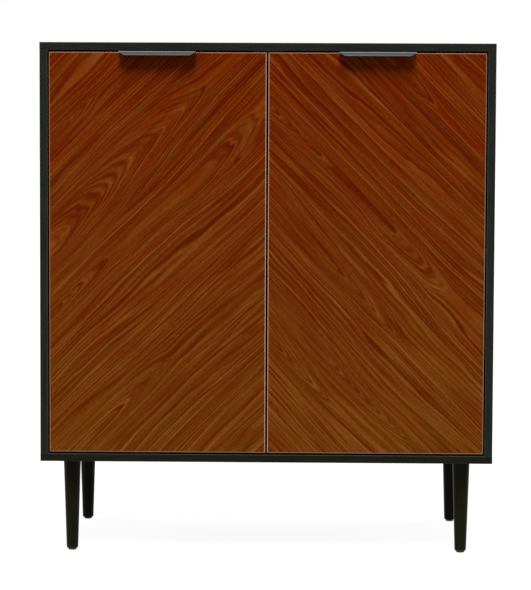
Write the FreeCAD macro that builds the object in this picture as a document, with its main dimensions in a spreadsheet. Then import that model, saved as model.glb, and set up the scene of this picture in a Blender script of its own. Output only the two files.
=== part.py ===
"""Two-door sideboard on turned legs.

A black case of thin boards stands on four tapered round legs. Two inset doors
with a light edge band hang on concealed single-pivot cup hinges, open by a
folded edge pull each, and are held shut by a twin magnetic catch under the top.

Frame: +Z up, +X to the right as seen from the front, the front faces -Y. The
origin is on the floor, in the middle of the part's outline, pulls included.
Lengths are in millimetres.
"""
import FreeCAD, Part
import math
import os
import re

import Sketcher

SIZES = {
    # Case boards
    "case_width": 700,
    "case_depth": 350,
    "case_height": 648,
    "board_thickness": 12,
    "board_arris": 0.6,
    # Back panel, slid into grooves of the boards
    "back_thickness": 3,
    "back_inset": 8,
    "groove_depth": 5,
    "groove_play": 0.2,
    # Plays shared by everything that is plugged or screwed in
    "fit_play": 0.05,
    "end_play": 0.5,
    "cut_overrun": 1,
    # Adjustable shelves and their pins
    "shelf_thickness": 12,
    "shelf_end_play": 1,
    "shelf_setback": 12,
    "shelf_back_play": 2,
    "lower_shelf_height": 198,
    "upper_shelf_height": 404,
    "pin_radius": 2.45,
    "pin_shank": 8,
    "pin_head_radius": 3.5,
    "pin_collar": 0.7,
    "pin_ledge": 8,
    "pin_flat_rise": 1.2,
    "pin_row_inset": 45,
    "pin_pitch": 32,
    # Dowels and cam fittings in the corner joints
    "dowel_radius": 3,
    "dowel_length": 24,
    "dowel_in_board": 8,
    "dowel_inset": 28,
    "cam_radius": 6,
    "cam_depth": 9.5,
    "cam_offset": 24,
    "cam_inset": 62,
    "cam_bolt_radius": 2.5,
    "cam_bolt_in_board": 8.5,
    "cam_head_radius": 3,
    "cam_head_length": 3,
    "cam_neck_radius": 2,
    "cam_bore_radius": 3.3,
    # Turned legs, foot glides, hanger bolts and tee nuts
    "leg_height": 147,
    "leg_top_radius": 13.5,
    "leg_foot_radius": 9,
    "leg_foot_chamfer": 2,
    "leg_side_inset": 45,
    "leg_front_inset": 45,
    "glide_radius": 6.5,
    "glide_thickness": 2.5,
    "nail_radius": 1,
    "nail_length": 14,
    "leg_bolt_radius": 4,
    "leg_bolt_in_leg": 32,
    "leg_bolt_in_board": 9,
    "nut_barrel_radius": 5.2,
    "nut_barrel_length": 10,
    "nut_flange_radius": 11,
    "nut_flange_thickness": 1.2,
    # Doors with their edge bands
    "door_thickness": 16,
    "door_side_gap": 2.5,
    "door_top_gap": 3,
    "door_bottom_gap": 3,
    "door_meeting_gap": 3,
    "band_thickness": 1.3,
    "band_round": 0.6,
    # Folded edge pulls
    "pull_width": 118,
    "pull_reach": 18,
    "pull_sheet": 1.5,
    "pull_lip": 6.5,
    "pull_lip_taper": 8,
    "pull_drop": 14,
    "pull_bend": 0.5,
    "pull_screw_spacing": 80,
    "pull_screw_rise": 5,
    "pull_screw_length": 12,
    # Cup hinges: the cup in the door
    "hinge_inset": 85,
    "pivot_inset": 13,
    "pivot_depth": 7.5,
    "pivot_pin_radius": 1.2,
    "pivot_pin_length": 21,
    "cup_radius": 17.5,
    "cup_edge": 4.5,
    "cup_depth": 12,
    "cup_floor": 0.8,
    "cup_slot_length": 29,
    "cup_rim": 1,
    "cup_rim_thickness": 1.2,
    "cup_wing_length": 62,
    "cup_wing_width": 13,
    "cup_wing_offset": 6,
    "cup_wing_corner": 3,
    "cup_screw_spacing": 48,
    "cup_screw_length": 12,
    # Cup hinges: the cranked arm and its plate on the side board
    "arm_thickness": 2,
    "arm_width": 14,
    "arm_eye_radius": 2.2,
    "arm_reach": 19,
    "arm_rise": 20,
    "arm_length": 44,
    "arm_bend": 2.5,
    "arm_flange_thickness": 1.2,
    "arm_flange_depth": 3,
    "cheek_play": 0.3,
    "plate_line": 53,
    "plate_height": 5.5,
    "plate_base": 2,
    "plate_length": 36,
    "plate_wing_length": 48,
    "plate_wing_width": 16,
    "plate_wing_corner": 3,
    "plate_screw_spacing": 32,
    "plate_screw_length": 10,
    "arm_screw_length": 4,
    "arm_screw_line": 4,
    # Screws
    "screw_radius": 1.75,
    "screw_head_radius": 3.4,
    "screw_head_thickness": 1.6,
    # Twin magnetic catch under the top, with a strike plate on each door
    "catch_width": 46,
    "catch_depth": 15,
    "catch_height": 16,
    "catch_gap": 0.3,
    "catch_ear_depth": 11,
    "catch_ear_thickness": 3,
    "catch_screw_spacing": 30,
    "catch_screw_length": 12,
    "catch_corner": 2,
    "magnet_width": 14,
    "magnet_height": 6,
    "magnet_depth": 8,
    "magnet_spacing": 24,
    "magnet_drop": 10,
    "strike_width": 12,
    "strike_height": 22,
    "strike_thickness": 1.2,
    "strike_drop": 5,
    "strike_screw_drop": 22,
    "strike_corner": 1.5,
    "strike_screw_length": 11,
}

# Sizes that follow from the ones above, each a formula of their names.
DERIVED = {
    "inner_width": "case_width - 2 * board_thickness",
    "inner_height": "case_height - 2 * board_thickness",
    "front_line": "(pull_reach - case_depth) / 2",
    "inner_floor": "leg_height + board_thickness",
    "inner_middle": "leg_height + case_height / 2",
    "groove_width": "back_thickness + 2 * groove_play",
    "groove_line": "case_depth - back_inset - back_thickness - groove_play",
    "joint_line": "inner_width / 2 + board_thickness / 2",
    "shelf_front": "door_thickness + shelf_setback",
    "shelf_back": "groove_line + groove_play - shelf_back_play",
    "pin_front_row": "shelf_front + pin_row_inset",
    "pin_row_spacing": "shelf_back - shelf_front - 2 * pin_row_inset",
    "shelf_spacing": "upper_shelf_height - lower_shelf_height",
    "screw_hole": "screw_radius + fit_play",
    "leg_line": "case_width / 2 - leg_side_inset",
    "leg_spacing": "case_depth - 2 * leg_front_inset",
    "leg_length": "leg_height - glide_thickness",
    "door_width": "(inner_width - 2 * door_side_gap - door_meeting_gap) / 2",
    "door_height": "inner_height - door_top_gap - door_bottom_gap",
    "door_floor": "inner_floor + door_bottom_gap",
    "pivot_line": "inner_width / 2 - door_side_gap - pivot_inset",
    "pivot_to_rear": "door_thickness - pivot_depth",
    "pivot_to_side": "pivot_inset + door_side_gap",
    "cup_line": "cup_edge + cup_radius - pivot_inset",
    "cup_screw_line": "cup_line + cup_wing_offset",
    "cup_slot_width": "arm_width + 2 * cheek_play",
    "hinge_spacing": "door_height - 2 * hinge_inset",
    "web_line": "pivot_to_side - plate_height - arm_thickness / 2",
    "plate_centre": "plate_line - pivot_depth",
    "lower_hinge_level": "door_floor + hinge_inset",
    "saddle_width": "arm_width - 2 * arm_flange_thickness - 2 * cheek_play",
    "pull_middle": "door_width / 2 - pivot_inset",
    "pull_screw_level": "door_height - pull_drop + pull_screw_rise",
    "catch_front": "door_thickness + strike_thickness + catch_gap",
    "catch_ear_line": "catch_depth + catch_ear_depth / 2",
    "strike_line": "pivot_line - magnet_spacing / 2",
    "strike_screw_level": "inner_height - strike_screw_drop - door_bottom_gap",
}

SIDES = {"left": -1, "right": 1}
SHELVES = ("lower", "upper")
HOLES_PER_ROW = 3
# Rounds that repeat many times are regular prisms with so many sides.
SHAFT_SIDES = 6
HEAD_SIDES = 8
LEG_SIDES = 24
MIDDLE = ("0", "0")
# How single features spread over all four legs and over both hinges of a door
LEG_GRID = ("X_Axis", "2 * leg_line", 2, ("Y_Axis", "leg_spacing", 2))
BOTH_HINGES = ("Z_Axis", "hinge_spacing", 2)
CUP_SCREWS = ("Z_Axis", "cup_screw_spacing", 2, BOTH_HINGES)
PLATE_SCREWS = ("Z_Axis", "plate_screw_spacing", 2, BOTH_HINGES)
PULL_SCREWS = ("X_Axis", "pull_screw_spacing", 2)
CATCH_SCREWS = ("X_Axis", "catch_screw_spacing", 2)
# Points closer than this count as one when an edge is looked up.
SAME_POINT = 1e-4

doc = FreeCAD.newDocument("Sideboard")
sheet = doc.addObject("Spreadsheet::Sheet", "Sizes")
for row, (name, value) in enumerate(SIZES.items(), start=1):
    sheet.set(f"A{row}", name)
    sheet.set(f"B{row}", str(value))
    sheet.setAlias(f"B{row}", name)
doc.recompute()

pieces = []
cuts = []


def formula(text):
    """Write a formula of named sizes as an expression on the sheet."""

    def expand(match):
        word = match.group(0)
        if word in DERIVED:
            return "(" + formula(DERIVED[word]) + ")"
        return "Sizes." + word if word in SIZES else word

    return re.sub(r"[a-z][a-z_]*", expand, text)


def bind(target, prop, text):
    """Tie a property to a formula of named sizes."""
    target.setExpression(prop, formula(text))


def new_body(label, x="0", y="0", z="0"):
    """Start a piece with its own label and place."""
    body = doc.addObject("PartDesign::Body", label)
    body.Label = label
    for axis, text in zip("xyz", (x, y, z)):
        bind(body, f"Placement.Base.{axis}", text)
    pieces.append(body)
    return body


def origin_item(body, role):
    """Find a plane or an axis of the piece's own origin."""
    return next(item for item in body.Origin.OriginFeatures if item.Role == role)


def new_sketch(body, role, offset="0"):
    """Start a sketch on an origin plane, moved along that plane's normal.

    The normals are +Z of XY_Plane, -Y of XZ_Plane and +X of YZ_Plane.
    """
    sketch = body.newObject("Sketcher::SketchObject", f"{body.Name}_sketch")
    sketch.AttachmentSupport = [(origin_item(body, role), "")]
    sketch.MapMode = "FlatFace"
    bind(sketch, "AttachmentOffset.Base.z", offset)
    return sketch


def add_dimension(sketch, kind, places, start, text):
    """Add a driving dimension to a sketch and tie it to a formula."""
    index = sketch.addConstraint(Sketcher.Constraint(kind, *places, start))
    bind(sketch, f"Constraints[{index}]", text)


def add_polygon(sketch, corners):
    """Draw a closed outline through corners given as pairs of formulas."""
    count = len(corners)
    first = sketch.GeometryCount
    turns = [2 * math.pi * index / count + 1 / count for index in range(count)]
    points = [FreeCAD.Vector(math.cos(turn), math.sin(turn), 0) for turn in turns]
    for index in range(count):
        sketch.addGeometry(Part.LineSegment(points[index], points[(index + 1) % count]), False)
    for index in range(count):
        following = first + (index + 1) % count
        sketch.addConstraint(Sketcher.Constraint("Coincident", first + index, 2, following, 1))
    for index, (across, up) in enumerate(corners):
        place = (-1, 1, first + index, 1)
        add_dimension(sketch, "DistanceX", place, points[index].x, across)
        add_dimension(sketch, "DistanceY", place, points[index].y, up)


def add_rectangle(sketch, left, low, right, high):
    """Draw a rectangle between two opposite corners."""
    add_polygon(sketch, [(left, low), (right, low), (right, high), (left, high)])


def add_circle(sketch, across, up, radius):
    """Draw a circle about a centre given by two formulas."""
    index = sketch.GeometryCount
    circle = Part.Circle(FreeCAD.Vector(1, 1, 0), FreeCAD.Vector(0, 0, 1), 1)
    sketch.addGeometry(circle, False)
    add_dimension(sketch, "DistanceX", (-1, 1, index, 3), 1, across)
    add_dimension(sketch, "DistanceY", (-1, 1, index, 3), 1, up)
    add_dimension(sketch, "Radius", (index,), 1, radius)


def pad(body, sketch, length, against=False, both=False):
    """Raise a solid from a sketch, along its normal, against it or both ways."""
    feature = body.newObject("PartDesign::Pad", f"{body.Name}_pad")
    feature.Profile = sketch
    feature.SideType = "Symmetric" if both else "One side"
    feature.Reversed = against
    bind(feature, "Length", length)
    return feature


def pocket(body, sketch, length, along=False, both=False):
    """Cut a pocket against the sketch's normal, along it or both ways."""
    feature = body.newObject("PartDesign::Pocket", f"{body.Name}_pocket")
    feature.Profile = sketch
    feature.SideType = "Symmetric" if both else "One side"
    feature.Reversed = along
    bind(feature, "Length", length)
    cuts.append(feature)
    return feature


def add_prism(body, kind, role, place, radius, length, start, sides):
    """Add or cut a regular prism along the normal of an origin plane."""
    feature = body.newObject(f"PartDesign::{kind}Prism", f"{body.Name}_prism")
    feature.AttachmentSupport = [(origin_item(body, role), "")]
    feature.MapMode = "FlatFace"
    for axis, text in zip("xyz", (*place, start)):
        bind(feature, f"AttachmentOffset.Base.{axis}", text)
    feature.Polygon = sides
    bind(feature, "Circumradius", radius)
    bind(feature, "Height", length)
    return feature


def shaft(
    body, role, radius, length, against=False, offset="0", place=MIDDLE, sides=SHAFT_SIDES
):
    """Raise one step of a round piece from an origin plane, along its normal or against it."""
    start = f"{offset} - ({length})" if against else offset
    add_prism(body, "Additive", role, place, radius, length, start, sides)


def drill(
    body, role, place, radius, depth, along=False, offset="0", sides=SHAFT_SIDES, spread=None
):
    """Bore a round hole into an origin plane, against its normal or along it.

    spread holds the further arguments of pattern, for a group of like holes.
    """
    start = offset if along else f"{offset} - ({depth})"
    hole = add_prism(body, "Subtractive", role, place, radius, depth, start, sides)
    cuts.append(hole)
    if spread:
        pattern(body, *spread, originals=[hole])


def pattern(body, role, spacing, count, second=None, originals=None):
    """Repeat features, or the whole piece, along one origin axis or along two."""
    feature = body.newObject("PartDesign::LinearPattern", f"{body.Name}_pattern")
    if originals:
        feature.Originals = originals
    else:
        feature.TransformMode = "Whole shape"
    feature.Direction = (origin_item(body, role), [""])
    feature.Occurrences = count
    bind(feature, "Length", f"({spacing}) * {count - 1}")
    if second:
        second_role, second_spacing, second_count = second
        feature.Direction2 = (origin_item(body, second_role), [""])
        feature.Occurrences2 = second_count
        bind(feature, "Length2", f"({second_spacing}) * {second_count - 1}")
    body.Tip = feature


def mirror_whole(body, role):
    """Mirror all that the piece has so far in one of its origin planes."""
    feature = body.newObject("PartDesign::Mirrored", f"{body.Name}_mirror")
    feature.TransformMode = "Whole shape"
    feature.MirrorPlane = (origin_item(body, role), [""])
    body.Tip = feature


def dress(body, kind, size, wanted):
    """Fillet or chamfer the edges of the piece that a test picks."""
    doc.recompute()
    base = body.Tip
    names = [
        f"Edge{index}"
        for index, edge in enumerate(base.Shape.Edges, start=1)
        if wanted(edge)
    ]
    if not names:
        raise RuntimeError(f"{body.Label} has no such edge")
    feature = body.newObject(f"PartDesign::{kind}", f"{body.Name}_{kind.lower()}")
    feature.Base = (base, names)
    bind(feature, "Radius" if kind == "Fillet" else "Size", size)


def at_corners(sketch, corners):
    """Test for the edges that rise from given corners of a sketch's outline."""
    doc.recompute()
    normal = sketch.Placement.Rotation.multVec(FreeCAD.Vector(0, 0, 1))
    spots = [sketch.Placement.multVec(sketch.getPoint(index, 1)) for index in corners]

    def wanted(edge):
        if not isinstance(edge.Curve, Part.Line):
            return False
        if abs(abs(edge.tangentAt(edge.FirstParameter).dot(normal)) - 1) > SAME_POINT:
            return False
        return any(edge.distToShape(Part.Vertex(spot))[0] < SAME_POINT for spot in spots)

    return wanted


def long_front_edges(body):
    """Test for the long straight edges of the front face."""
    doc.recompute()
    box = body.Tip.Shape.BoundBox
    longest = max(box.XLength, box.ZLength)

    def wanted(edge):
        in_front = edge.BoundBox.YMax - box.YMin < SAME_POINT
        return in_front and edge.Length > longest / 2

    return wanted


def lowest_edges(body):
    """Test for the edges in the lowest plane of the piece."""
    doc.recompute()
    foot = body.Tip.Shape.BoundBox.ZMin
    return lambda edge: edge.BoundBox.ZMax - foot < SAME_POINT


def at_outer_faces(body):
    """Test for the edges round the front and the rear face of a slab."""
    doc.recompute()
    box = body.Tip.Shape.BoundBox

    def wanted(edge):
        bounds = edge.BoundBox
        if bounds.YLength > SAME_POINT:
            return False
        return min(bounds.YMin - box.YMin, box.YMax - bounds.YMax) < SAME_POINT

    return wanted


def joint_grid(inset):
    """Spread over the four corner joints what lies an inset from front and rear."""
    return ("X_Axis", "2 * joint_line", 2, ("Y_Axis", f"case_depth - 2 * {inset}", 2))


def end_grid(inset, shortening):
    """Spread over a side board's ends what lies an inset from front and rear."""
    up = ("Z_Axis", f"inner_height - ({shortening})", 2)
    return ("Y_Axis", f"case_depth - 2 * {inset}", 2, up)


def make_flat_board(label, level, inward):
    """Make the top or bottom board, with z = 0 on its inner face.

    inward is the sign of Z from the board towards the inside of the case.
    """
    body = new_body(label, "0", "front_line", level)
    into_board = inward < 0
    outline = new_sketch(body, "XY_Plane")
    add_rectangle(outline, "-case_width / 2", "0", "case_width / 2", "case_depth")
    pad(body, outline, "board_thickness", against=not into_board)
    dress(body, "Chamfer", "board_arris", long_front_edges(body))

    groove = new_sketch(body, "XY_Plane")
    groove_end = "inner_width / 2 + groove_depth"
    groove_rear = "groove_line + groove_width"
    add_rectangle(groove, f"-({groove_end})", "groove_line", groove_end, groove_rear)
    pocket(body, groove, "groove_depth", along=into_board)

    for inset, radius, length in (
        ("dowel_inset", "dowel_radius", "dowel_in_board"),
        ("cam_inset", "cam_bolt_radius", "cam_bolt_in_board"),
    ):
        drill(
            body, "XY_Plane", ("-joint_line", inset), f"{radius} + fit_play",
            f"{length} + end_play", along=into_board, spread=joint_grid(inset),
        )
    return body


def make_top_board():
    """Make the top, with screw holes for the catch in its underside."""
    body = make_flat_board("top_board", "inner_floor + inner_height", -1)
    first = ("-catch_screw_spacing / 2", "catch_front + catch_ear_line")
    depth = "catch_screw_length - catch_ear_thickness + end_play"
    drill(body, "XY_Plane", first, "screw_hole", depth, along=True, spread=CATCH_SCREWS)


def make_bottom_board():
    """Make the bottom, with a stepped hole for the tee nut of each leg."""
    body = make_flat_board("bottom_board", "inner_floor", 1)
    for radius, depth, sides in (
        ("nut_barrel_radius", "board_thickness", SHAFT_SIDES),
        ("nut_flange_radius", "nut_flange_thickness", HEAD_SIDES),
    ):
        drill(
            body, "XY_Plane", ("-leg_line", "leg_front_inset"), f"{radius} + fit_play",
            depth, sides=sides, spread=LEG_GRID,
        )


def make_side_board(name, side):
    """Make a side board, with x = 0 on its inner face and z = 0 at its foot."""
    body = new_body(f"{name}_side_board", f"{side} * inner_width / 2", "front_line", "inner_floor")
    outwards = side > 0
    outline = new_sketch(body, "YZ_Plane")
    add_rectangle(outline, "0", "0", "case_depth", "inner_height")
    pad(body, outline, "board_thickness", against=not outwards)
    dress(body, "Chamfer", "board_arris", long_front_edges(body))

    groove = new_sketch(body, "YZ_Plane")
    add_rectangle(groove, "groove_line", "0", "groove_line + groove_width", "inner_height")
    pocket(body, groove, "groove_depth", along=outwards)

    # Short columns of holes for the shelf pins, one per shelf and row
    for shelf in SHELVES:
        drill(
            body,
            "YZ_Plane",
            ("pin_front_row", f"{shelf}_shelf_height - pin_flat_rise - pin_pitch"),
            "pin_radius + fit_play",
            "pin_shank + end_play",
            along=outwards,
            spread=("Z_Axis", "pin_pitch", HOLES_PER_ROW, ("Y_Axis", "pin_row_spacing", 2)),
        )

    # Blind seats for the cams, then holes into both ends for dowels and bolts
    drill(
        body,
        "YZ_Plane",
        ("cam_inset", "cam_offset"),
        "cam_radius + fit_play",
        "cam_depth",
        along=outwards,
        sides=HEAD_SIDES,
        spread=end_grid("cam_inset", "2 * cam_offset"),
    )
    for inset, radius, depth in (
        ("dowel_inset", "dowel_radius + fit_play", "dowel_length - dowel_in_board + end_play"),
        ("cam_inset", "cam_bore_radius", "cam_offset"),
    ):
        place = (f"{side} * board_thickness / 2", inset)
        grid = end_grid(inset, depth)
        drill(body, "XY_Plane", place, radius, depth, along=True, spread=grid)

    drill(
        body,
        "YZ_Plane",
        ("plate_line", "door_bottom_gap + hinge_inset - plate_screw_spacing / 2"),
        "screw_hole",
        "plate_screw_length - plate_base + end_play",
        along=outwards,
        spread=PLATE_SCREWS,
    )


def make_back_panel():
    """Make the thin back that slides in the boards' grooves."""
    body = new_body("back_panel", "0", "front_line + groove_line + groove_play", "inner_middle")
    outline = new_sketch(body, "XZ_Plane")
    half_width = "inner_width / 2 + groove_depth - groove_play"
    half_height = "inner_height / 2 + groove_depth - groove_play"
    add_rectangle(outline, f"-({half_width})", f"-({half_height})", half_width, half_height)
    pad(body, outline, "back_thickness", against=True)


def make_shelf(shelf):
    """Make an adjustable shelf, with z = 0 on its underside."""
    body = new_body(f"{shelf}_shelf", "0", "front_line", f"inner_floor + {shelf}_shelf_height")
    outline = new_sketch(body, "XY_Plane")
    half_width = "inner_width / 2 - shelf_end_play"
    add_rectangle(outline, f"-({half_width})", "shelf_front", half_width, "shelf_back")
    pad(body, outline, "shelf_thickness")
    dress(body, "Chamfer", "board_arris", long_front_edges(body))


def make_shelf_pins():
    """Make the pins that carry the shelves, four to a shelf."""
    level = "inner_floor + lower_shelf_height - pin_flat_rise"
    body = new_body("shelf_pins", "0", "front_line + pin_front_row", level)
    shaft(body, "YZ_Plane", "pin_radius", "pin_shank", offset="inner_width / 2")
    shaft(
        body, "YZ_Plane", "pin_head_radius", "pin_ledge",
        against=True, offset="inner_width / 2", sides=HEAD_SIDES,
    )
    # The head is cut flat where the shelf lies on it, behind its collar
    flat = new_sketch(body, "XZ_Plane")
    add_rectangle(
        flat,
        "inner_width / 2 - pin_ledge - cut_overrun",
        "pin_flat_rise",
        "inner_width / 2 - pin_collar",
        "pin_head_radius + cut_overrun",
    )
    pocket(body, flat, "2 * pin_head_radius + cut_overrun", both=True)
    up = ("Z_Axis", "shelf_spacing", len(SHELVES))
    pattern(body, "Y_Axis", "pin_row_spacing", 2, up)
    mirror_whole(body, "YZ_Plane")


def make_dowels():
    """Make the wooden dowels that line up the corner joints."""
    body = new_body("case_dowels", "0", "front_line + dowel_inset", "inner_middle")
    foot = "inner_height / 2 - dowel_length + dowel_in_board"
    place = ("joint_line", "0")
    shaft(body, "XY_Plane", "dowel_radius", "dowel_length", offset=foot, place=place)
    pattern(body, "Y_Axis", "case_depth - 2 * dowel_inset", 2)
    mirror_whole(body, "YZ_Plane")
    mirror_whole(body, "XY_Plane")


def make_cams():
    """Make the round cams in the side boards that pull the joints tight."""
    body = new_body("case_cams", "0", "front_line + cam_inset", "inner_middle")
    place = ("0", "inner_height / 2 - cam_offset")
    shaft(
        body, "YZ_Plane", "cam_radius", "cam_depth",
        offset="inner_width / 2", place=place, sides=HEAD_SIDES,
    )
    # The bolt's head stands in a hole from the joint to past the cam's middle
    reach = "cam_offset + cam_head_length"
    joint = ("joint_line", "0")
    drill(body, "XY_Plane", joint, "cam_bore_radius", reach, offset="inner_height / 2")
    pattern(body, "Y_Axis", "case_depth - 2 * cam_inset", 2)
    mirror_whole(body, "YZ_Plane")
    mirror_whole(body, "XY_Plane")


def make_cam_bolts():
    """Make the bolts that stand in the flat boards, their heads in the cams."""
    body = new_body("cam_bolts", "-joint_line", "front_line + cam_inset", "inner_middle")
    joint = "inner_height / 2"
    head = f"{joint} - cam_offset - cam_head_length / 2"
    shaft(body, "XY_Plane", "cam_bolt_radius", "cam_bolt_in_board", offset=joint)
    neck = "cam_offset + cam_head_length / 2"
    shaft(body, "XY_Plane", "cam_neck_radius", neck, against=True, offset=joint)
    shaft(body, "XY_Plane", "cam_head_radius", "cam_head_length", offset=head)
    pattern(body, *joint_grid("cam_inset"))
    mirror_whole(body, "XY_Plane")


def make_leg(name, side, end):
    """Make one tapered leg, with holes for its bolt and its glide's nail."""
    along = f"front_line + case_depth / 2 + {end} * leg_spacing / 2"
    body = new_body(f"{name}_leg", f"{side} * leg_line", along, "leg_height")
    shaft(body, "XY_Plane", "leg_top_radius", "leg_length", against=True, sides=LEG_SIDES)
    taper = body.newObject("PartDesign::Draft", f"{body.Name}_taper")
    doc.recompute()
    taper.Base = (body.Group[0], [
        f"Face{index}"
        for index, face in enumerate(body.Group[0].Shape.Faces, start=1)
        if face.BoundBox.ZLength > SAME_POINT
    ])
    taper.NeutralPlane = (origin_item(body, "XY_Plane"), [""])
    taper.Reversed = True
    flat = f"cos({180 / LEG_SIDES})"
    bind(taper, "Angle", f"atan((leg_top_radius - leg_foot_radius) * {flat} / leg_length)")
    dress(body, "Chamfer", "leg_foot_chamfer", lowest_edges(body))
    bolt_depth = "leg_bolt_in_leg + end_play"
    nail_depth = "nail_length + end_play"
    drill(body, "XY_Plane", MIDDLE, "leg_bolt_radius + fit_play", bolt_depth)
    drill(body, "XY_Plane", MIDDLE, "nail_radius + fit_play", nail_depth, True, "-leg_length")


def make_leg_fixings():
    """Make the foot glides, the hanger bolts and the tee nuts of the four legs."""
    corner = ("-leg_line", "front_line + leg_front_inset")

    glides = new_body("foot_glides", *corner)
    shaft(glides, "XY_Plane", "glide_radius", "glide_thickness", sides=LEG_SIDES)
    shaft(glides, "XY_Plane", "nail_radius", "nail_length", offset="glide_thickness")
    pattern(glides, *LEG_GRID)

    bolts = new_body("leg_bolts", *corner, "leg_height")
    length = "leg_bolt_in_leg + leg_bolt_in_board"
    shaft(bolts, "XY_Plane", "leg_bolt_radius", length, offset="-leg_bolt_in_leg")
    pattern(bolts, *LEG_GRID)

    nuts = new_body("tee_nuts", *corner, "inner_floor")
    shaft(nuts, "XY_Plane", "nut_barrel_radius", "nut_barrel_length", against=True)
    shaft(
        nuts, "XY_Plane", "nut_flange_radius", "nut_flange_thickness",
        against=True, sides=HEAD_SIDES,
    )
    drill(nuts, "XY_Plane", MIDDLE, "leg_bolt_radius + fit_play", "nut_barrel_length")
    pattern(nuts, *LEG_GRID)


def make_screws(label, place, inwards, length, spread=None):
    """Make a screw or a group of like screws, each a shank with a flat round head.

    place is the middle of the first head's seat, inwards the axis and the sign
    of the way that the shank runs. spread holds the further arguments of pattern.
    """
    body = new_body(label, *place)
    axis, sign = inwards
    plane = {"X_Axis": "YZ_Plane", "Y_Axis": "XZ_Plane", "Z_Axis": "XY_Plane"}[axis]
    # The normal of XZ_Plane runs against its axis
    along_normal = sign < 0 if axis == "Y_Axis" else sign > 0
    head = ("screw_head_radius", "screw_head_thickness")
    shaft(body, plane, *head, against=along_normal, sides=HEAD_SIDES)
    shaft(body, plane, "screw_radius", length, against=not along_normal)
    if spread:
        pattern(body, *spread)


def make_door(name, side):
    """Make a door panel and its edge band.

    Both have x = y = 0 on the pivot axis and z = 0 at the door's foot. The
    sketches lie on the door's rear face.
    """
    inward = -side
    place = (f"{side} * pivot_line", "front_line + pivot_depth", "door_floor")
    rear = "-pivot_to_rear"
    panel_outline = (
        f"{inward} * (band_thickness - pivot_inset)",
        "band_thickness",
        f"{inward} * (door_width - pivot_inset - band_thickness)",
        "door_height - band_thickness",
    )

    band = new_body(f"{name}_door_edge_band", *place)
    outer = new_sketch(band, "XZ_Plane", rear)
    far = f"{inward} * (door_width - pivot_inset)"
    add_rectangle(outer, f"-{inward} * pivot_inset", "0", far, "door_height")
    pad(band, outer, "door_thickness")
    dress(band, "Fillet", "band_round", at_outer_faces(band))
    inner = new_sketch(band, "XZ_Plane", rear)
    add_rectangle(inner, *panel_outline)
    pocket(band, inner, "door_thickness", along=True)

    panel = new_body(f"{name}_door_panel", *place)
    outline = new_sketch(panel, "XZ_Plane", rear)
    add_rectangle(outline, *panel_outline)
    pad(panel, outline, "door_thickness")

    bores = new_sketch(panel, "XZ_Plane", rear)
    for level in ("hinge_inset", "door_height - hinge_inset"):
        add_circle(bores, f"{inward} * cup_line", level, "cup_radius + fit_play")
    pocket(panel, bores, "cup_depth", along=True)

    # Pilot holes behind fittings that hold a part of the screw themselves
    cup_screw = (f"{inward} * cup_screw_line", "hinge_inset - cup_screw_spacing / 2")
    pull_screw = (f"{inward} * pull_middle - pull_screw_spacing / 2", "pull_screw_level")
    strike_screw = (f"{inward} * strike_line", "strike_screw_level")
    for place, length, held, spread in (
        (cup_screw, "cup_screw_length", "cup_rim_thickness", CUP_SCREWS),
        (pull_screw, "pull_screw_length", "pull_sheet", PULL_SCREWS),
        (strike_screw, "strike_screw_length", "strike_thickness", None),
    ):
        depth = f"{length} - {held} + end_play"
        drill(panel, "XZ_Plane", place, "screw_hole", depth, True, rear, spread=spread)


def make_pull(name, side):
    """Make the folded pull on a door's top edge, and its screws.

    A sheet lies on the door's edge, is turned down behind the door for its
    screws, and stands out in front with a lip whose ends are cut slanting.
    """
    middle = f"{side} * (pivot_line - pull_middle)"
    body = new_body(f"{name}_edge_pull", middle, "front_line", "door_floor + door_height")
    profile = new_sketch(body, "YZ_Plane")
    lip_foot = "pull_sheet - pull_lip"
    add_polygon(profile, [
        ("-pull_reach", "pull_sheet"),
        ("door_thickness + pull_sheet", "pull_sheet"),
        ("door_thickness + pull_sheet", "-pull_drop"),
        ("door_thickness", "-pull_drop"),
        ("door_thickness", "0"),
        ("pull_sheet - pull_reach", "0"),
        ("pull_sheet - pull_reach", lip_foot),
        ("-pull_reach", lip_foot),
    ])
    pad(body, profile, "pull_width", both=True)
    dress(body, "Fillet", "pull_bend + pull_sheet", at_corners(profile, (0, 1)))
    dress(body, "Fillet", "pull_bend", at_corners(profile, (4, 5)))

    ends = new_sketch(body, "XZ_Plane", "pull_reach + cut_overrun")
    for step in (-1, 1):
        taper_end = f"{step} * (pull_width / 2 - pull_lip_taper)"
        outside = f"{step} * (pull_width / 2 + cut_overrun)"
        add_polygon(ends, [
            (f"{step} * pull_width / 2", "0"),
            (taper_end, lip_foot),
            (taper_end, f"{lip_foot} - cut_overrun"),
            (outside, f"{lip_foot} - cut_overrun"),
            (outside, "0"),
        ])
    pocket(body, ends, "cut_overrun + pull_sheet + pull_bend")

    first = ("-pull_screw_spacing / 2", "pull_screw_rise - pull_drop")
    rear = "-door_thickness - pull_sheet"
    drill(body, "XZ_Plane", first, "screw_hole", "pull_sheet", True, rear, spread=PULL_SCREWS)
    place = (
        f"{middle} - pull_screw_spacing / 2",
        "front_line + door_thickness + pull_sheet",
        "door_floor + pull_screw_level",
    )
    inwards = ("Y_Axis", -1)
    make_screws(f"{name}_pull_screws", place, inwards, "pull_screw_length", PULL_SCREWS)


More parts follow.
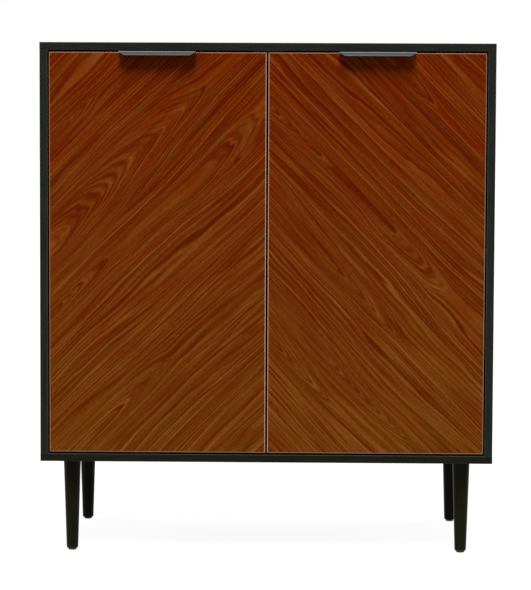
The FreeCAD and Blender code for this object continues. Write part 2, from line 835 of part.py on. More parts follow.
def make_hinge_cups(name, side):
    """Make a door's hinge cups, with x = y = 0 on the pivot axis.

    Each is a cast drum let into the door, with a slot for the arm between two
    cheeks, and a rim with screw wings on the door's rear face.
    """
    inward = -side
    place = (f"{side} * pivot_line", "front_line + pivot_depth", "lower_hinge_level")
    body = new_body(f"{name}_hinge_cups", *place)
    rear = "-pivot_to_rear"
    middle = f"{inward} * cup_line"
    drum = new_sketch(body, "XZ_Plane", rear)
    add_circle(drum, middle, "0", "cup_radius")
    pad(body, drum, "cup_depth")
    wing = new_sketch(body, "XZ_Plane", rear)
    wing_middle = f"{inward} * cup_screw_line"
    add_rectangle(
        wing,
        f"{wing_middle} - cup_wing_width / 2",
        "-cup_wing_length / 2",
        f"{wing_middle} + cup_wing_width / 2",
        "cup_wing_length / 2",
    )
    pad(body, wing, "cup_rim_thickness", against=True)
    dress(body, "Chamfer", "cup_wing_corner", at_corners(wing, range(4)))
    rim = new_sketch(body, "XZ_Plane", rear)
    add_circle(rim, middle, "0", "cup_radius + cup_rim")
    pad(body, rim, "cup_rim_thickness", against=True)

    rim_face = f"{rear} - cup_rim_thickness"
    slot = new_sketch(body, "XZ_Plane", rim_face)
    add_rectangle(
        slot,
        f"{middle} - cup_slot_length / 2",
        "-cup_slot_width / 2",
        f"{middle} + cup_slot_length / 2",
        "cup_slot_width / 2",
    )
    pocket(body, slot, "cup_rim_thickness + cup_depth - cup_floor", along=True)
    pin_hole = new_sketch(body, "XY_Plane")
    add_circle(pin_hole, "0", "0", "pivot_pin_radius + fit_play")
    pocket(body, pin_hole, "pivot_pin_length + 2 * fit_play", both=True)
    screw = (wing_middle, "-cup_screw_spacing / 2")
    pair = CUP_SCREWS[:3]
    drill(body, "XZ_Plane", screw, "screw_hole", "cup_rim_thickness", True, rim_face, spread=pair)
    pattern(body, *BOTH_HINGES)


def make_hinge_arms(name, side):
    """Make a door's cranked hinge arms, with x = y = 0 on the pivot axis.

    From the eye on the pin each runs out of the cup, round the swept corner of
    the door, back to the side board and along it, folded down over the plate.
    """
    inward = -side
    place = (f"{side} * pivot_line", "front_line + pivot_depth", "lower_hinge_level")
    body = new_body(f"{name}_hinge_arms", *place)
    half = "arm_thickness / 2"
    end = "arm_rise + arm_length"
    strip = new_sketch(body, "XY_Plane")
    add_polygon(strip, [
        ("0", f"-{half}"),
        (f"{inward} * (arm_reach + {half})", f"-{half}"),
        (f"{inward} * (arm_reach + {half})", f"arm_rise + {half}"),
        (f"{inward} * ({half} - web_line)", f"arm_rise + {half}"),
        (f"{inward} * ({half} - web_line)", end),
        (f"{inward} * (-{half} - web_line)", end),
        (f"{inward} * (-{half} - web_line)", f"arm_rise - {half}"),
        (f"{inward} * (arm_reach - {half})", f"arm_rise - {half}"),
        (f"{inward} * (arm_reach - {half})", half),
        ("0", half),
    ])
    pad(body, strip, "arm_width", both=True)
    dress(body, "Chamfer", "arm_bend + arm_thickness / 2", at_corners(strip, (1, 2, 6)))
    dress(body, "Chamfer", "arm_bend", at_corners(strip, (3, 7, 8)))

    half_width = "arm_width / 2"
    shaft(body, "XY_Plane", "arm_eye_radius", "arm_width", offset=f"-{half_width}", sides=HEAD_SIDES)
    pin_hole = new_sketch(body, "XY_Plane")
    add_circle(pin_hole, "0", "0", "pivot_pin_radius + fit_play")
    pocket(body, pin_hole, "arm_width + cut_overrun", both=True)

    flanges = new_sketch(body, "YZ_Plane", f"{inward} * (-{half} - web_line)")
    start = "arm_rise + arm_bend + arm_thickness"
    for step in (-1, 1):
        outer = f"{step} * {half_width}"
        inner = f"{step} * ({half_width} - arm_flange_thickness)"
        add_rectangle(flanges, start, outer, end, inner)
    pad(body, flanges, "arm_flange_depth", against=inward > 0)
    web_face = f"{inward} * ({half} - web_line)"
    screw = ("plate_centre + arm_screw_line", "0")
    drill(body, "YZ_Plane", screw, "screw_hole", "arm_thickness", inward < 0, web_face)
    pattern(body, *BOTH_HINGES)


def make_hinge_plates(name, side):
    """Make a door's hinge plates, with x = 0 on the side board, y = 0 on their screws.

    Each has a base with screw wings and a raised saddle that the arm straddles.
    """
    place = (f"{side} * inner_width / 2", "front_line + plate_line", "lower_hinge_level")
    body = new_body(f"{name}_hinge_plates", *place)
    inwards = side < 0
    bar = new_sketch(body, "YZ_Plane")
    add_rectangle(bar, "-plate_length / 2", "-arm_width / 2", "plate_length / 2", "arm_width / 2")
    pad(body, bar, "plate_base", against=not inwards)
    wing = new_sketch(body, "YZ_Plane")
    half_wing = ("plate_wing_width / 2", "plate_wing_length / 2")
    add_rectangle(wing, "-plate_wing_width / 2", "-plate_wing_length / 2", *half_wing)
    pad(body, wing, "plate_base", against=not inwards)
    dress(body, "Chamfer", "plate_wing_corner", at_corners(wing, range(4)))
    saddle = new_sketch(body, "YZ_Plane")
    half_saddle = ("plate_length / 2", "saddle_width / 2")
    add_rectangle(saddle, "-plate_length / 2", "-saddle_width / 2", *half_saddle)
    pad(body, saddle, "plate_height", against=not inwards)
    screw = ("0", "-plate_screw_spacing / 2")
    pair = PLATE_SCREWS[:3]
    drill(body, "YZ_Plane", screw, "screw_hole", "plate_base", inwards, spread=pair)
    drill(body, "YZ_Plane", ("arm_screw_line", "0"), "screw_hole", "plate_height", inwards)
    pattern(body, *BOTH_HINGES)


def make_hinge_fixings(name, side):
    """Make the pins and all the screws of a door's hinges."""
    place = (f"{side} * pivot_line", "front_line + pivot_depth", "lower_hinge_level")
    pins = new_body(f"{name}_hinge_pins", *place)
    outline = new_sketch(pins, "XY_Plane")
    add_circle(outline, "0", "0", "pivot_pin_radius")
    pad(pins, outline, "pivot_pin_length", both=True)
    pattern(pins, *BOTH_HINGES)

    cup_screw = (
        f"{side} * (pivot_line - cup_screw_line)",
        "front_line + door_thickness + cup_rim_thickness",
        "lower_hinge_level - cup_screw_spacing / 2",
    )
    inwards = ("Y_Axis", -1)
    make_screws(f"{name}_cup_screws", cup_screw, inwards, "cup_screw_length", CUP_SCREWS)
    outwards = ("X_Axis", side)
    plate_screw = (
        f"{side} * (inner_width / 2 - plate_base)",
        "front_line + plate_line",
        "lower_hinge_level - plate_screw_spacing / 2",
    )
    make_screws(
        f"{name}_plate_screws", plate_screw, outwards, "plate_screw_length", PLATE_SCREWS
    )
    arm_screw = (
        f"{side} * (inner_width / 2 - plate_height - arm_thickness)",
        "front_line + plate_line + arm_screw_line",
        "lower_hinge_level",
    )
    make_screws(f"{name}_arm_screws", arm_screw, outwards, "arm_screw_length", BOTH_HINGES)


def make_catch():
    """Make the twin magnetic catch, with z = 0 under the top and y = 0 on its face."""
    underside = "inner_floor + inner_height"
    place = ("0", "front_line + catch_front", underside)
    body = new_body("catch_housing", *place)
    block = new_sketch(body, "XY_Plane")
    add_rectangle(block, "-catch_width / 2", "0", "catch_width / 2", "catch_depth")
    pad(body, block, "catch_height", against=True)
    ear = new_sketch(body, "XY_Plane")
    ear_end = "catch_depth + catch_ear_depth"
    add_rectangle(ear, "-catch_width / 2", "catch_depth", "catch_width / 2", ear_end)
    pad(body, ear, "catch_ear_thickness", against=True)
    dress(body, "Chamfer", "catch_corner", at_corners(ear, (2, 3)))
    seats = new_sketch(body, "XZ_Plane")
    add_magnet_outlines(seats)
    pocket(body, seats, "magnet_depth")
    first = ("-catch_screw_spacing / 2", "catch_ear_line")
    depth = "catch_ear_thickness"
    drill(body, "XY_Plane", first, "screw_hole", depth, spread=CATCH_SCREWS)

    magnets = new_body("catch_magnets", *place)
    faces = new_sketch(magnets, "XZ_Plane")
    add_magnet_outlines(faces)
    pad(magnets, faces, "magnet_depth", against=True)

    screw = (
        "-catch_screw_spacing / 2",
        "front_line + catch_front + catch_ear_line",
        f"{underside} - catch_ear_thickness",
    )
    make_screws("catch_screws", screw, ("Z_Axis", 1), "catch_screw_length", CATCH_SCREWS)


def add_magnet_outlines(sketch):
    """Draw the faces of both magnets of the catch."""
    for side in SIDES.values():
        middle = f"{side} * magnet_spacing / 2"
        add_rectangle(
            sketch,
            f"{middle} - magnet_width / 2",
            "-magnet_drop - magnet_height / 2",
            f"{middle} + magnet_width / 2",
            "magnet_height / 2 - magnet_drop",
        )


def make_strike(name, side):
    """Make the steel plate on a door that the magnet holds, and its screw."""
    across = f"{side} * magnet_spacing / 2"
    rear = "front_line + door_thickness"
    body = new_body(f"{name}_strike_plate", across, rear, "inner_floor + inner_height")
    outline = new_sketch(body, "XZ_Plane")
    foot = "-strike_drop - strike_height"
    add_rectangle(outline, "-strike_width / 2", foot, "strike_width / 2", "-strike_drop")
    pad(body, outline, "strike_thickness", against=True)
    dress(body, "Chamfer", "strike_corner", at_corners(outline, range(4)))
    drill(body, "XZ_Plane", ("0", "-strike_screw_drop"), "screw_hole", "strike_thickness")
    seat = (across, f"{rear} + strike_thickness", "door_floor + strike_screw_level")
    make_screws(f"{name}_strike_screw", seat, ("Y_Axis", -1), "strike_screw_length")


def build():
    """Make every piece of the sideboard."""
    make_top_board()
    make_bottom_board()
    make_back_panel()
    for shelf in SHELVES:
        make_shelf(shelf)
    make_shelf_pins()
    make_dowels()
    make_cams()
    make_cam_bolts()
    make_leg_fixings()
    make_catch()
    for name, side in SIDES.items():
        make_side_board(name, side)
        make_leg(f"front_{name}", side, -1)
        make_leg(f"rear_{name}", side, 1)
        make_door(name, side)
        make_pull(name, side)
        make_hinge_cups(name, side)
        make_hinge_arms(name, side)
        make_hinge_plates(name, side)
        make_hinge_fixings(name, side)
        make_strike(name, side)


def check_and_write():
    """Stop if anything failed to build, then write each piece to its own file."""
    doc.recompute()
    for item in doc.Objects:
        if "Invalid" in item.State or "Error" in item.State:
            raise RuntimeError(f"{item.Label} failed: {item.State}")
    for cut in cuts:
        if cut.Shape.Volume >= cut.BaseFeature.Shape.Volume:
            raise RuntimeError(f"{cut.Label} cuts nothing")
    for piece in pieces:
        if piece.Shape.isNull() or not piece.Shape.isValid() or not piece.Shape.Solids:
            raise RuntimeError(f"{piece.Label} is not a sound solid")
    os.makedirs("parts", exist_ok=True)
    for piece in pieces:
        piece.Shape.exportStep(f"parts/{piece.Label}.step")


build()
check_and_write()
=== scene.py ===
"""Looks of a two-door sideboard on turned legs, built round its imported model.

The case is black melamine board, the doors carry a walnut foil whose grain runs
slanting up to the gap between them, and folded aluminium pulls sit on their top
edges. Lengths are in millimetres where a name says mm, and in metres elsewhere.
"""

from __future__ import annotations

import logging
import math
from dataclasses import dataclass, field
from enum import Enum
from typing import Any, Iterable

import bmesh
import bpy
from mathutils import Matrix, Vector


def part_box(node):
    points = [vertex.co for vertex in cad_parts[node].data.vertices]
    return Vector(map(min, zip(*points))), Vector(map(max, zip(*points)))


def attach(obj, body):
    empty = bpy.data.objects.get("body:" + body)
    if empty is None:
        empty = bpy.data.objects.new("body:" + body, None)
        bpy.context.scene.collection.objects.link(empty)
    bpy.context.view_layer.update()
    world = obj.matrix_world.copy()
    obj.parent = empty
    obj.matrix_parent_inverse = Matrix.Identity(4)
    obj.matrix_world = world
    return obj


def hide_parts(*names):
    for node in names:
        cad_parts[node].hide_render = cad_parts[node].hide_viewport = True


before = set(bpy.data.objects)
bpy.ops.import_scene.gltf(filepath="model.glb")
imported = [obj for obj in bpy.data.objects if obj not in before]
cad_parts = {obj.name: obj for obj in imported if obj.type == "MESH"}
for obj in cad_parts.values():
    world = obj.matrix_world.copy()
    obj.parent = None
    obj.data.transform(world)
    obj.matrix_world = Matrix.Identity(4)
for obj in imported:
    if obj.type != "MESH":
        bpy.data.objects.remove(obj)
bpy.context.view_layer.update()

logging.basicConfig(level=logging.INFO, format="%(message)s")
log = logging.getLogger("sideboard")

Tree = bpy.types.NodeTree
Node = bpy.types.Node
Socket = bpy.types.NodeSocket
# What an input can get: a node, an output socket or a plain value
Source = Any
# What a node's inputs get, by name or number
Sockets = dict[Any, Any]
# A colour ramp's places, with their hex colours
Stops = tuple[tuple[float, str], ...]
MM = 0.001
# How far a pattern's shift goes along each axis
SHIFT_WAY = (1.0, 0.7, 1.3)
# How strong each finer layer of grains is, against the one before it
FINER_SHARE = 0.55
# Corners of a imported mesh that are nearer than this, in metres, are one corner
WELD = 1e-6
# Edges of repeated pieces that turn by more than this, in radians, stay sharp
CREASE = 0.6


class Side(Enum):
    """The two mirrored halves, with the sign of their x coordinates."""

    LEFT = -1
    RIGHT = 1

    @property
    def word(self) -> str:
        """The side's name as the nodes spell it."""
        return self.name.lower()


class Grain(Enum):
    """Which way a board's embossed grain runs."""

    ACROSS = "x"
    UPRIGHT = "z"


# Nodes and colours


def linear(code: str) -> tuple[float, float, float, float]:
    """Turn an sRGB hex colour into linear light.

    Args:
        code: Six hex digits, with or without a leading #.

    Returns:
        Red, green, blue and an alpha of 1.
    """
    digits = code.lstrip("#")
    parts = (int(digits[i : i + 2], 16) / 255 for i in (0, 2, 4))
    red, green, blue = (
        c / 12.92 if c <= 0.04045 else ((c + 0.055) / 1.055) ** 2.4 for c in parts
    )
    return red, green, blue, 1.0


def add_node(
    tree: Tree, kind: str, inputs: Sockets | None = None, stops: Stops = (), **settings: Any
) -> Node:
    """Add a node with its settings, its values and its links.

    Args:
        tree: The tree that gets the node.
        kind: The node's type.
        inputs: What each input gets, by name or number: a value, an output
            socket, or a node, which stands for its first output.
        stops: A colour ramp's places from 0 to 1, with their hex colours.
        **settings: The node's own properties.

    Returns:
        The new node.
    """
    node = tree.nodes.new(kind)
    for name, value in settings.items():
        setattr(node, name, value)
    for key, value in (inputs or {}).items():
        if isinstance(value, Node):
            value = value.outputs[0]
        if isinstance(value, Socket):
            tree.links.new(value, node.inputs[key])
        else:
            node.inputs[key].default_value = value
    marks = node.color_ramp.elements if stops else []
    while len(marks) < len(stops):
        marks.new(1.0)
    for mark, (position, code) in zip(marks, stops):
        mark.position = position
        mark.color = linear(code)
    return node


# Finishes


@dataclass(frozen=True)
class Zone:
    """A slab of space where a finish differs: its axis, its span in metres, its tone.

    X counts from the middle to both sides. The tone multiplies the colour, painting light or shade
    into it.
    """

    axis: str
    low: float
    high: float
    tone: tuple[float, float, float]


@dataclass(frozen=True)
class Finish:
    """A finish on object coordinates, drawn by each kind in its own way.

    The shader's plain numbers stand on its own sockets, and draw() gives only
    what changes over the surface.
    """

    name: str
    roughness: float = 0.5
    metallic: float = 0.0
    specular: float = 0.5
    ior: float = 1.5
    relief_mm: float = 0.0
    zones: tuple[Zone, ...] = ()

    def make(self) -> bpy.types.Material:
        """Build the material.

        Returns:
            The material, with its pattern linked to the shader.
        """
        material = bpy.data.materials.new(self.name)
        material.use_nodes = True
        tree = material.node_tree
        tree.nodes.clear()
        values = {"Roughness": self.roughness, "Metallic": self.metallic}
        if not self.metallic:
            values |= {"IOR": self.ior, "Specular IOR Level": self.specular}
        shader = add_node(tree, "ShaderNodeBsdfPrincipled", values)
        place = add_node(tree, "ShaderNodeTexCoord").outputs["Object"]
        drawn = self.draw(tree, place)
        if self.zones:
            drawn["Base Color"] = self.zoned(tree, place, drawn["Base Color"])
        relief = {"Height": drawn.pop("Height"), "Distance": self.relief_mm * MM}
        drawn["Normal"] = add_node(tree, "ShaderNodeBump", {**relief, "Strength": 1.0})
        for name, source in drawn.items():
            output = source.outputs[0] if isinstance(source, Node) else source
            tree.links.new(output, shader.inputs[name])
        add_node(tree, "ShaderNodeOutputMaterial", {"Surface": shader})
        return material

    def draw(self, tree: Tree, place: Socket) -> Sockets:
        """Draw the pattern.

        Args:
            tree: The material's tree.
            place: Object coordinates in metres.

        Returns:
            Shader inputs, and Height for the relief.
        """
        raise NotImplementedError

    def zoned(self, tree: Tree, place: Socket, colour: Source) -> Source:
        """Change a colour inside each of the finish's zones.

        Args:
            tree: The material's tree.
            place: Object coordinates in metres.
            colour: The colour as drawn.

        Returns:
            The colour with every zone's painted light or shade.
        """
        parts = add_node(tree, "ShaderNodeSeparateXYZ", {"Vector": place}).outputs
        out = add_node(tree, "ShaderNodeMath", {0: parts["X"]}, operation="ABSOLUTE")
        for zone in self.zones:
            inside = add_node(
                tree,
                "ShaderNodeMath",
                {
                    0: out if zone.axis == "X" else parts[zone.axis],
                    1: (zone.low + zone.high) / 2,
                    2: (zone.high - zone.low) / 2,
                },
                operation="COMPARE",
            )
            colour = add_node(
                tree,
                "ShaderNodeMix",
                {0: inside, 6: colour, 7: (*zone.tone, 1.0)},
                data_type="RGBA",
                blend_type="MULTIPLY",
            ).outputs[2]
        return colour

    def grains(
        self,
        tree: Tree,
        place: Source,
        size_mm: tuple[float, float, float],
        detail: float = 2.0,
        shift: float = 0.0,
        distortion: float = 0.0,
    ) -> Node:
        """Draw grains of a real size, long or round.

        Args:
            tree: The material's tree.
            place: Coordinates in metres.
            size_mm: A grain's size along each axis.
            detail: How many finer layers are added.
            shift: Moves to another part of the same pattern.
            distortion: How much the grains swirl.

        Returns:
            A value round 0.5.
        """
        stretched = add_node(
            tree,
            "ShaderNodeMapping",
            {
                "Vector": place,
                "Location": tuple(shift * part for part in SHIFT_WAY),
                "Scale": tuple(1 / (size * MM) for size in size_mm),
            },
        )
        return add_node(
            tree,
            "ShaderNodeTexNoise",
            {
                "Vector": stretched,
                "Scale": 1.0,
                "Detail": detail,
                "Roughness": FINER_SHARE,
                "Distortion": distortion,
            },
        )

    def weighted(
        self, tree: Tree, start: Source, parts: Iterable[tuple[Source, float]]
    ) -> Source:
        """Add values, each times its weight, to a start.

        Args:
            tree: The material's tree.
            start: What the sum starts from.
            parts: Each value with its weight.

        Returns:
            The sum.
        """
        for source, weight in parts:
            start = add_node(
                tree, "ShaderNodeMath", {0: source, 1: weight, 2: start}, operation="MULTIPLY_ADD"
            )
        return start


@dataclass(frozen=True)
class GrainedMelamine(Finish):
    """Melamine-faced board, pressed with a fine open-pore grain.

    Matt black paper under clear resin: nearly flat in colour, with short pores
    that catch a little light, and a painted highlight on the arrises.
    """

    grain: Grain = Grain.ACROSS
    pore_mm: float = 1.6
    pore_length_mm: float = 38.0
    cloud_mm: float = 90.0
    cloud_weight: float = 0.18
    tone_low: float = 0.36
    tone_high: float = 0.84
    smoother: float = 0.06
    rougher: float = 0.08
    squareness: float = 0.9
    dark: str = "#181a16"
    pale: str = "#272924"
    arris: str = "#4c504c"

    def draw(self, tree: Tree, place: Socket) -> Sockets:
        """Draw pores along the grain, a slow cloud and pale arrises.

        Args:
            tree: The material's tree.
            place: Object coordinates in metres.

        Returns:
            Colour, roughness and relief.
        """
        thin, long = self.pore_mm, self.pore_length_mm
        size_mm = (long, thin, thin) if self.grain is Grain.ACROSS else (thin, thin, long)
        pores = self.grains(tree, place, size_mm, detail=3.0)
        cloud = self.grains(tree, place, (self.cloud_mm,) * 3, shift=4.0)
        tone = add_node(
            tree,
            "ShaderNodeMapRange",
            {
                "Value": self.weighted(tree, pores, ((cloud, self.cloud_weight),)),
                "From Min": self.tone_low,
                "From Max": self.tone_high,
            },
        )
        stops = ((0.0, self.dark), (1.0, self.pale))
        ground = add_node(tree, "ShaderNodeValToRGB", {"Fac": tone}, stops)
        # Painted highlight: the arrises are mixed towards a paler colour
        colour = add_node(
            tree,
            "ShaderNodeMix",
            {0: self.arrises(tree), 6: ground, 7: linear(self.arris)},
            data_type="RGBA",
        ).outputs[2]
        rough = add_node(
            tree,
            "ShaderNodeMapRange",
            {
                "Value": pores,
                "To Min": self.roughness - self.smoother,
                "To Max": self.roughness + self.rougher,
            },
        )
        return {"Base Color": colour, "Roughness": rough, "Height": pores}

    def arrises(self, tree: Tree) -> Node:
        """Find the arrises: faces that look along none of the axes.

        Args:
            tree: The material's tree.

        Returns:
            1 on an arris and 0 on a flat side.
        """
        facing = add_node(tree, "ShaderNodeTexCoord").outputs["Normal"]
        reach = add_node(tree, "ShaderNodeVectorMath", {0: facing}, operation="ABSOLUTE")
        parts = add_node(tree, "ShaderNodeSeparateXYZ", {"Vector": reach}).outputs
        across = add_node(
            tree, "ShaderNodeMath", {0: parts["X"], 1: parts["Y"]}, operation="MAXIMUM"
        )
        square = add_node(tree, "ShaderNodeMath", {0: across, 1: parts["Z"]}, operation="MAXIMUM")
        return add_node(
            tree, "ShaderNodeMath", {0: square, 1: self.squareness}, operation="LESS_THAN"
        )


@dataclass(frozen=True)
class Layer:
    """One layer of grains: its grain size along each axis, and its weight."""

    size_mm: tuple[float, float, float]
    weight: float
    shift: float
    detail: float = 1.0


@dataclass(frozen=True)
class Heart:
    """A line where the log's heart comes near the face, with pointed rings on it.

    Places are measured from the door's middle, across the grain and along it.
    """

    across_mm: float
    end_mm: float
    length_mm: float
    width_mm: float


@dataclass(frozen=True)
class WalnutFoil(Finish):
    """Walnut decor foil on chipboard, its grain laid slanting on the front.

    A satin print of crown-cut walnut: red-brown with dark ring lines, finer
    lines between them, veins, streaks and fine fibres. The lines bend round
    long pointed eyes, as where a board is cut near the log's heart. The rear
    face has the same foil with its grain upright.
    """

    lean: float = 45.0
    middle: tuple[float, float, float] = (0.0, 0.0, 0.0)
    rear_line: float = -0.1575
    hearts: tuple[Heart, ...] = ()
    ring_mm: float = 14.0
    tip_pitch_mm: float = 52.0
    tip_round_mm: float = 2.5
    unlike_sides: float = 4.0
    vein_reach: float = 0.25
    fine_rings: float = 2.4
    fine_waver: float = -3.1
    fine_strength: float = 0.3
    weak_at: float = 0.35
    strong_at: float = 0.65
    weakest: float = 0.5
    strongest: float = 0.95
    tone_middle: float = 0.47
    gold_start: float = -0.4
    # How far the painted warm light at the foot moves the wood towards golden
    gold_drift: float = 0.45
    drift_foot: float = 0.16
    drift_top: float = 0.78
    gloss_change: float = 0.08
    swell: Layer = Layer((540.0, 540.0, 75.0), 66.0, 3.1, 1.4)
    waver: Layer = Layer((75.0, 75.0, 13.0), 6.5, 7.7, 1.2)
    spacing: Layer = Layer((900.0, 900.0, 34.0), 1.7, 8.8, 1.0)
    veins: Layer = Layer((420.0, 420.0, 11.0), 0.48, 4.4, 0.3)
    strength: Layer = Layer((150.0, 150.0, 22.0), 1.0, 0.9, 1.0)
    flowing: tuple[Layer, ...] = (
        Layer((240.0, 240.0, 8.0), 0.42, 5.9, 0.6),
        Layer((520.0, 520.0, 26.0), 0.22, 9.2, 1.0),
    )
    fibres: tuple[Layer, ...] = (
        Layer((70.0, 70.0, 3.4), 0.42, 1.3, 0.0),
        Layer((7.0, 7.0, 2.4), 0.3, 2.4, 0.0),
    )
    hue: Layer = Layer((75.0, 75.0, 13.0), 1.8, 6.6, 2.0)
    ring_profile: Stops = (
        (0.0, "#ffffff"),
        (0.15, "#c2c2c2"),
        (0.36, "#b8b8b8"),
        (0.48, "#949494"),
        (0.6, "#cecece"),
        (0.72, "#b4b4b4"),
        (0.86, "#000000"),
        (1.0, "#ffffff"),
    )
    vein_profile: Stops = (
        (0.0, "#bcbcbc"),
        (0.34, "#acacac"),
        (0.47, "#000000"),
        (0.61, "#ffffff"),
        (0.78, "#bcbcbc"),
    )
    red: Stops = (
        (0.0, "#521100"),
        (0.2, "#5c1600"),
        (0.38, "#641d00"),
        (0.52, "#6b2300"),
        (0.66, "#722900"),
        (0.84, "#7b3103"),
        (1.0, "#833808"),
    )
    golden: Stops = (
        (0.0, "#582300"),
        (0.2, "#602c00"),
        (0.38, "#673405"),
        (0.52, "#6e3a0c"),
        (0.66, "#744112"),
        (0.84, "#7b4717"),
        (1.0, "#824d1d"),
    )

    def draw(self, tree: Tree, place: Socket) -> Sockets:
        """Draw rings, veins and streaks that follow one flow, and straight fibres.

        Args:
            tree: The material's tree.
            place: Object coordinates in metres.

        Returns:
            Colour, roughness and relief.
        """
        straight = self.laid(tree, place)
        across, along = self.flow(tree, straight)
        fibres = [(self.spread(tree, straight, k), k.weight) for k in self.fibres]
        drawn = [(self.spread(tree, along, k), k.weight) for k in self.flowing]
        drawn += [*fibres, (self.veined(tree, along), self.veins.weight)]
        start = self.tone_middle - sum(weight for _, weight in drawn) / 2
        rings = self.ringed(tree, straight, along, across)
        tone = self.weighted(tree, start, ((rings, 1.0), *drawn))
        level = add_node(tree, "ShaderNodeMapRange", {"Value": tone})
        reddish = add_node(tree, "ShaderNodeValToRGB", {"Fac": level}, self.red)
        golden = add_node(tree, "ShaderNodeValToRGB", {"Fac": level}, self.golden)
        colour = add_node(
            tree,
            "ShaderNodeMix",
            {0: self.gilded(tree, place, along), 6: reddish, 7: golden},
            data_type="RGBA",
        ).outputs[2]
        rough = add_node(
            tree,
            "ShaderNodeMapRange",
            {
                "Value": fibres[0][0],
                "To Min": self.roughness + self.gloss_change,
                "To Max": self.roughness - self.gloss_change,
            },
        )
        return {"Base Color": colour, "Roughness": rough, "Height": level}

    def spread(self, tree: Tree, place: Source, layer: Layer) -> Node:
        """Draw one layer of grains on the given coordinates."""
        return self.grains(tree, place, layer.size_mm, layer.detail, layer.shift)

    def laid(self, tree: Tree, place: Socket) -> Socket:
        """Lay the foil slanting on the front and upright on the rear.

        Args:
            tree: The material's tree.
            place: Object coordinates in metres.

        Returns:
            Coordinates in metres with x along the grain and z across it.
        """
        slanting = add_node(
            tree,
            "ShaderNodeMapping",
            {
                "Vector": place,
                "Location": self.middle,
                "Rotation": (0.0, math.radians(-self.lean), 0.0),
            },
            vector_type="TEXTURE",
        )
        upright = add_node(
            tree, "ShaderNodeMapping", {"Vector": place, "Rotation": (0.0, math.pi / 2, 0.0)}
        )
        depth = add_node(tree, "ShaderNodeSeparateXYZ", {"Vector": place}).outputs["Y"]
        behind = add_node(
            tree, "ShaderNodeMath", {0: depth, 1: self.rear_line}, operation="GREATER_THAN"
        )
        return add_node(
            tree, "ShaderNodeMix", {0: behind, 4: slanting, 5: upright}, data_type="VECTOR"
        ).outputs[1]

    def flow(self, tree: Tree, straight: Socket) -> tuple[Node, Node]:
        """Bend the grain and fold it round each heart.

        Args:
            tree: The material's tree.
            straight: Coordinates along and across the grain.

        Returns:
            The distance across the rings, and coordinates that follow them.
        """
        parts = add_node(tree, "ShaderNodeSeparateXYZ", {"Vector": straight}).outputs
        bends = (self.swell, self.waver)
        bent = [(self.spread(tree, straight, k), k.weight * MM) for k in bends]
        line = add_node(
            tree,
            "ShaderNodeMath",
            {
                0: self.weighted(tree, parts["Z"], bent),
                1: sum(k.weight for k in bends) / 2 * MM,
            },
            operation="SUBTRACT",
        )
        nearest: Source = 1.0
        pulled: Source = 0.0
        for heart in self.hearts:
            aside = add_node(
                tree, "ShaderNodeMath", {0: line, 1: heart.across_mm * MM}, operation="SUBTRACT"
            )
            away = add_node(tree, "ShaderNodeMath", {0: aside}, operation="ABSOLUTE")
            nearest = add_node(
                tree, "ShaderNodeMath", {0: nearest, 1: away}, operation="MINIMUM"
            )
            near = add_node(
                tree,
                "ShaderNodeMapRange",
                {
                    "Value": away,
                    "From Max": heart.width_mm * MM,
                    "To Min": 1.0,
                    "To Max": 0.0,
                },
                interpolation_type="SMOOTHERSTEP",
            )
            behind_tip = add_node(
                tree,
                "ShaderNodeMapRange",
                {
                    "Value": parts["X"],
                    "From Min": (heart.end_mm - heart.length_mm) * MM,
                    "From Max": heart.end_mm * MM,
                    "To Min": -heart.length_mm * MM * self.ring_mm / self.tip_pitch_mm,
                    "To Max": 0.0,
                },
            )
            pulled = add_node(
                tree,
                "ShaderNodeMath",
                {0: near, 1: behind_tip, 2: pulled},
                operation="MULTIPLY_ADD",
            )
        tip = self.tip_round_mm * MM
        squared = add_node(
            tree,
            "ShaderNodeMath",
            {0: nearest, 1: nearest, 2: tip * tip},
            operation="MULTIPLY_ADD",
        )
        away = add_node(tree, "ShaderNodeMath", {0: squared}, operation="SQRT")
        across = add_node(tree, "ShaderNodeMath", {0: away, 1: pulled}, operation="ADD")
        unlike = add_node(
            tree, "ShaderNodeMath", {0: line, 1: self.unlike_sides}, operation="MULTIPLY"
        )
        along = add_node(
            tree, "ShaderNodeCombineXYZ", {"X": parts["X"], "Y": unlike, "Z": across}
        )
        return across, along

    def ringed(self, tree: Tree, straight: Socket, along: Node, across: Node) -> Source:
        """Draw the ring lines, with finer ones where they are weak.

        Args:
            tree: The material's tree.
            straight: Coordinates along and across the grain.
            along: Coordinates that follow the rings.
            across: The distance across the rings.

        Returns:
            A value round 0.
        """
        spacing = self.spread(tree, along, self.spacing)
        steps = ((across, 1 / (self.ring_mm * MM)), (spacing, self.spacing.weight))
        rings = self.weighted(tree, 0.0, steps)
        turn = add_node(tree, "ShaderNodeMath", {0: rings}, operation="FRACT")
        profile = add_node(tree, "ShaderNodeValToRGB", {"Fac": turn}, self.ring_profile)
        centred = add_node(tree, "ShaderNodeMath", {0: profile, 1: 0.5}, operation="SUBTRACT")
        strength = add_node(
            tree,
            "ShaderNodeMapRange",
            {
                "Value": self.spread(tree, straight, self.strength),
                "From Min": self.weak_at,
                "From Max": self.strong_at,
                "To Min": self.weakest,
                "To Max": self.strongest,
            },
        )
        main = add_node(tree, "ShaderNodeMath", {0: centred, 1: strength}, operation="MULTIPLY")
        fine_steps = ((rings, self.fine_rings * math.tau), (spacing, self.fine_waver * math.tau))
        fine_turn = self.weighted(tree, 0.0, fine_steps)
        wave = add_node(tree, "ShaderNodeMath", {0: fine_turn}, operation="SINE")
        rest = add_node(tree, "ShaderNodeMath", {0: 1.0, 1: strength}, operation="SUBTRACT")
        finer = add_node(tree, "ShaderNodeMath", {0: wave, 1: rest}, operation="MULTIPLY")
        return self.weighted(tree, main, ((finer, self.fine_strength),))

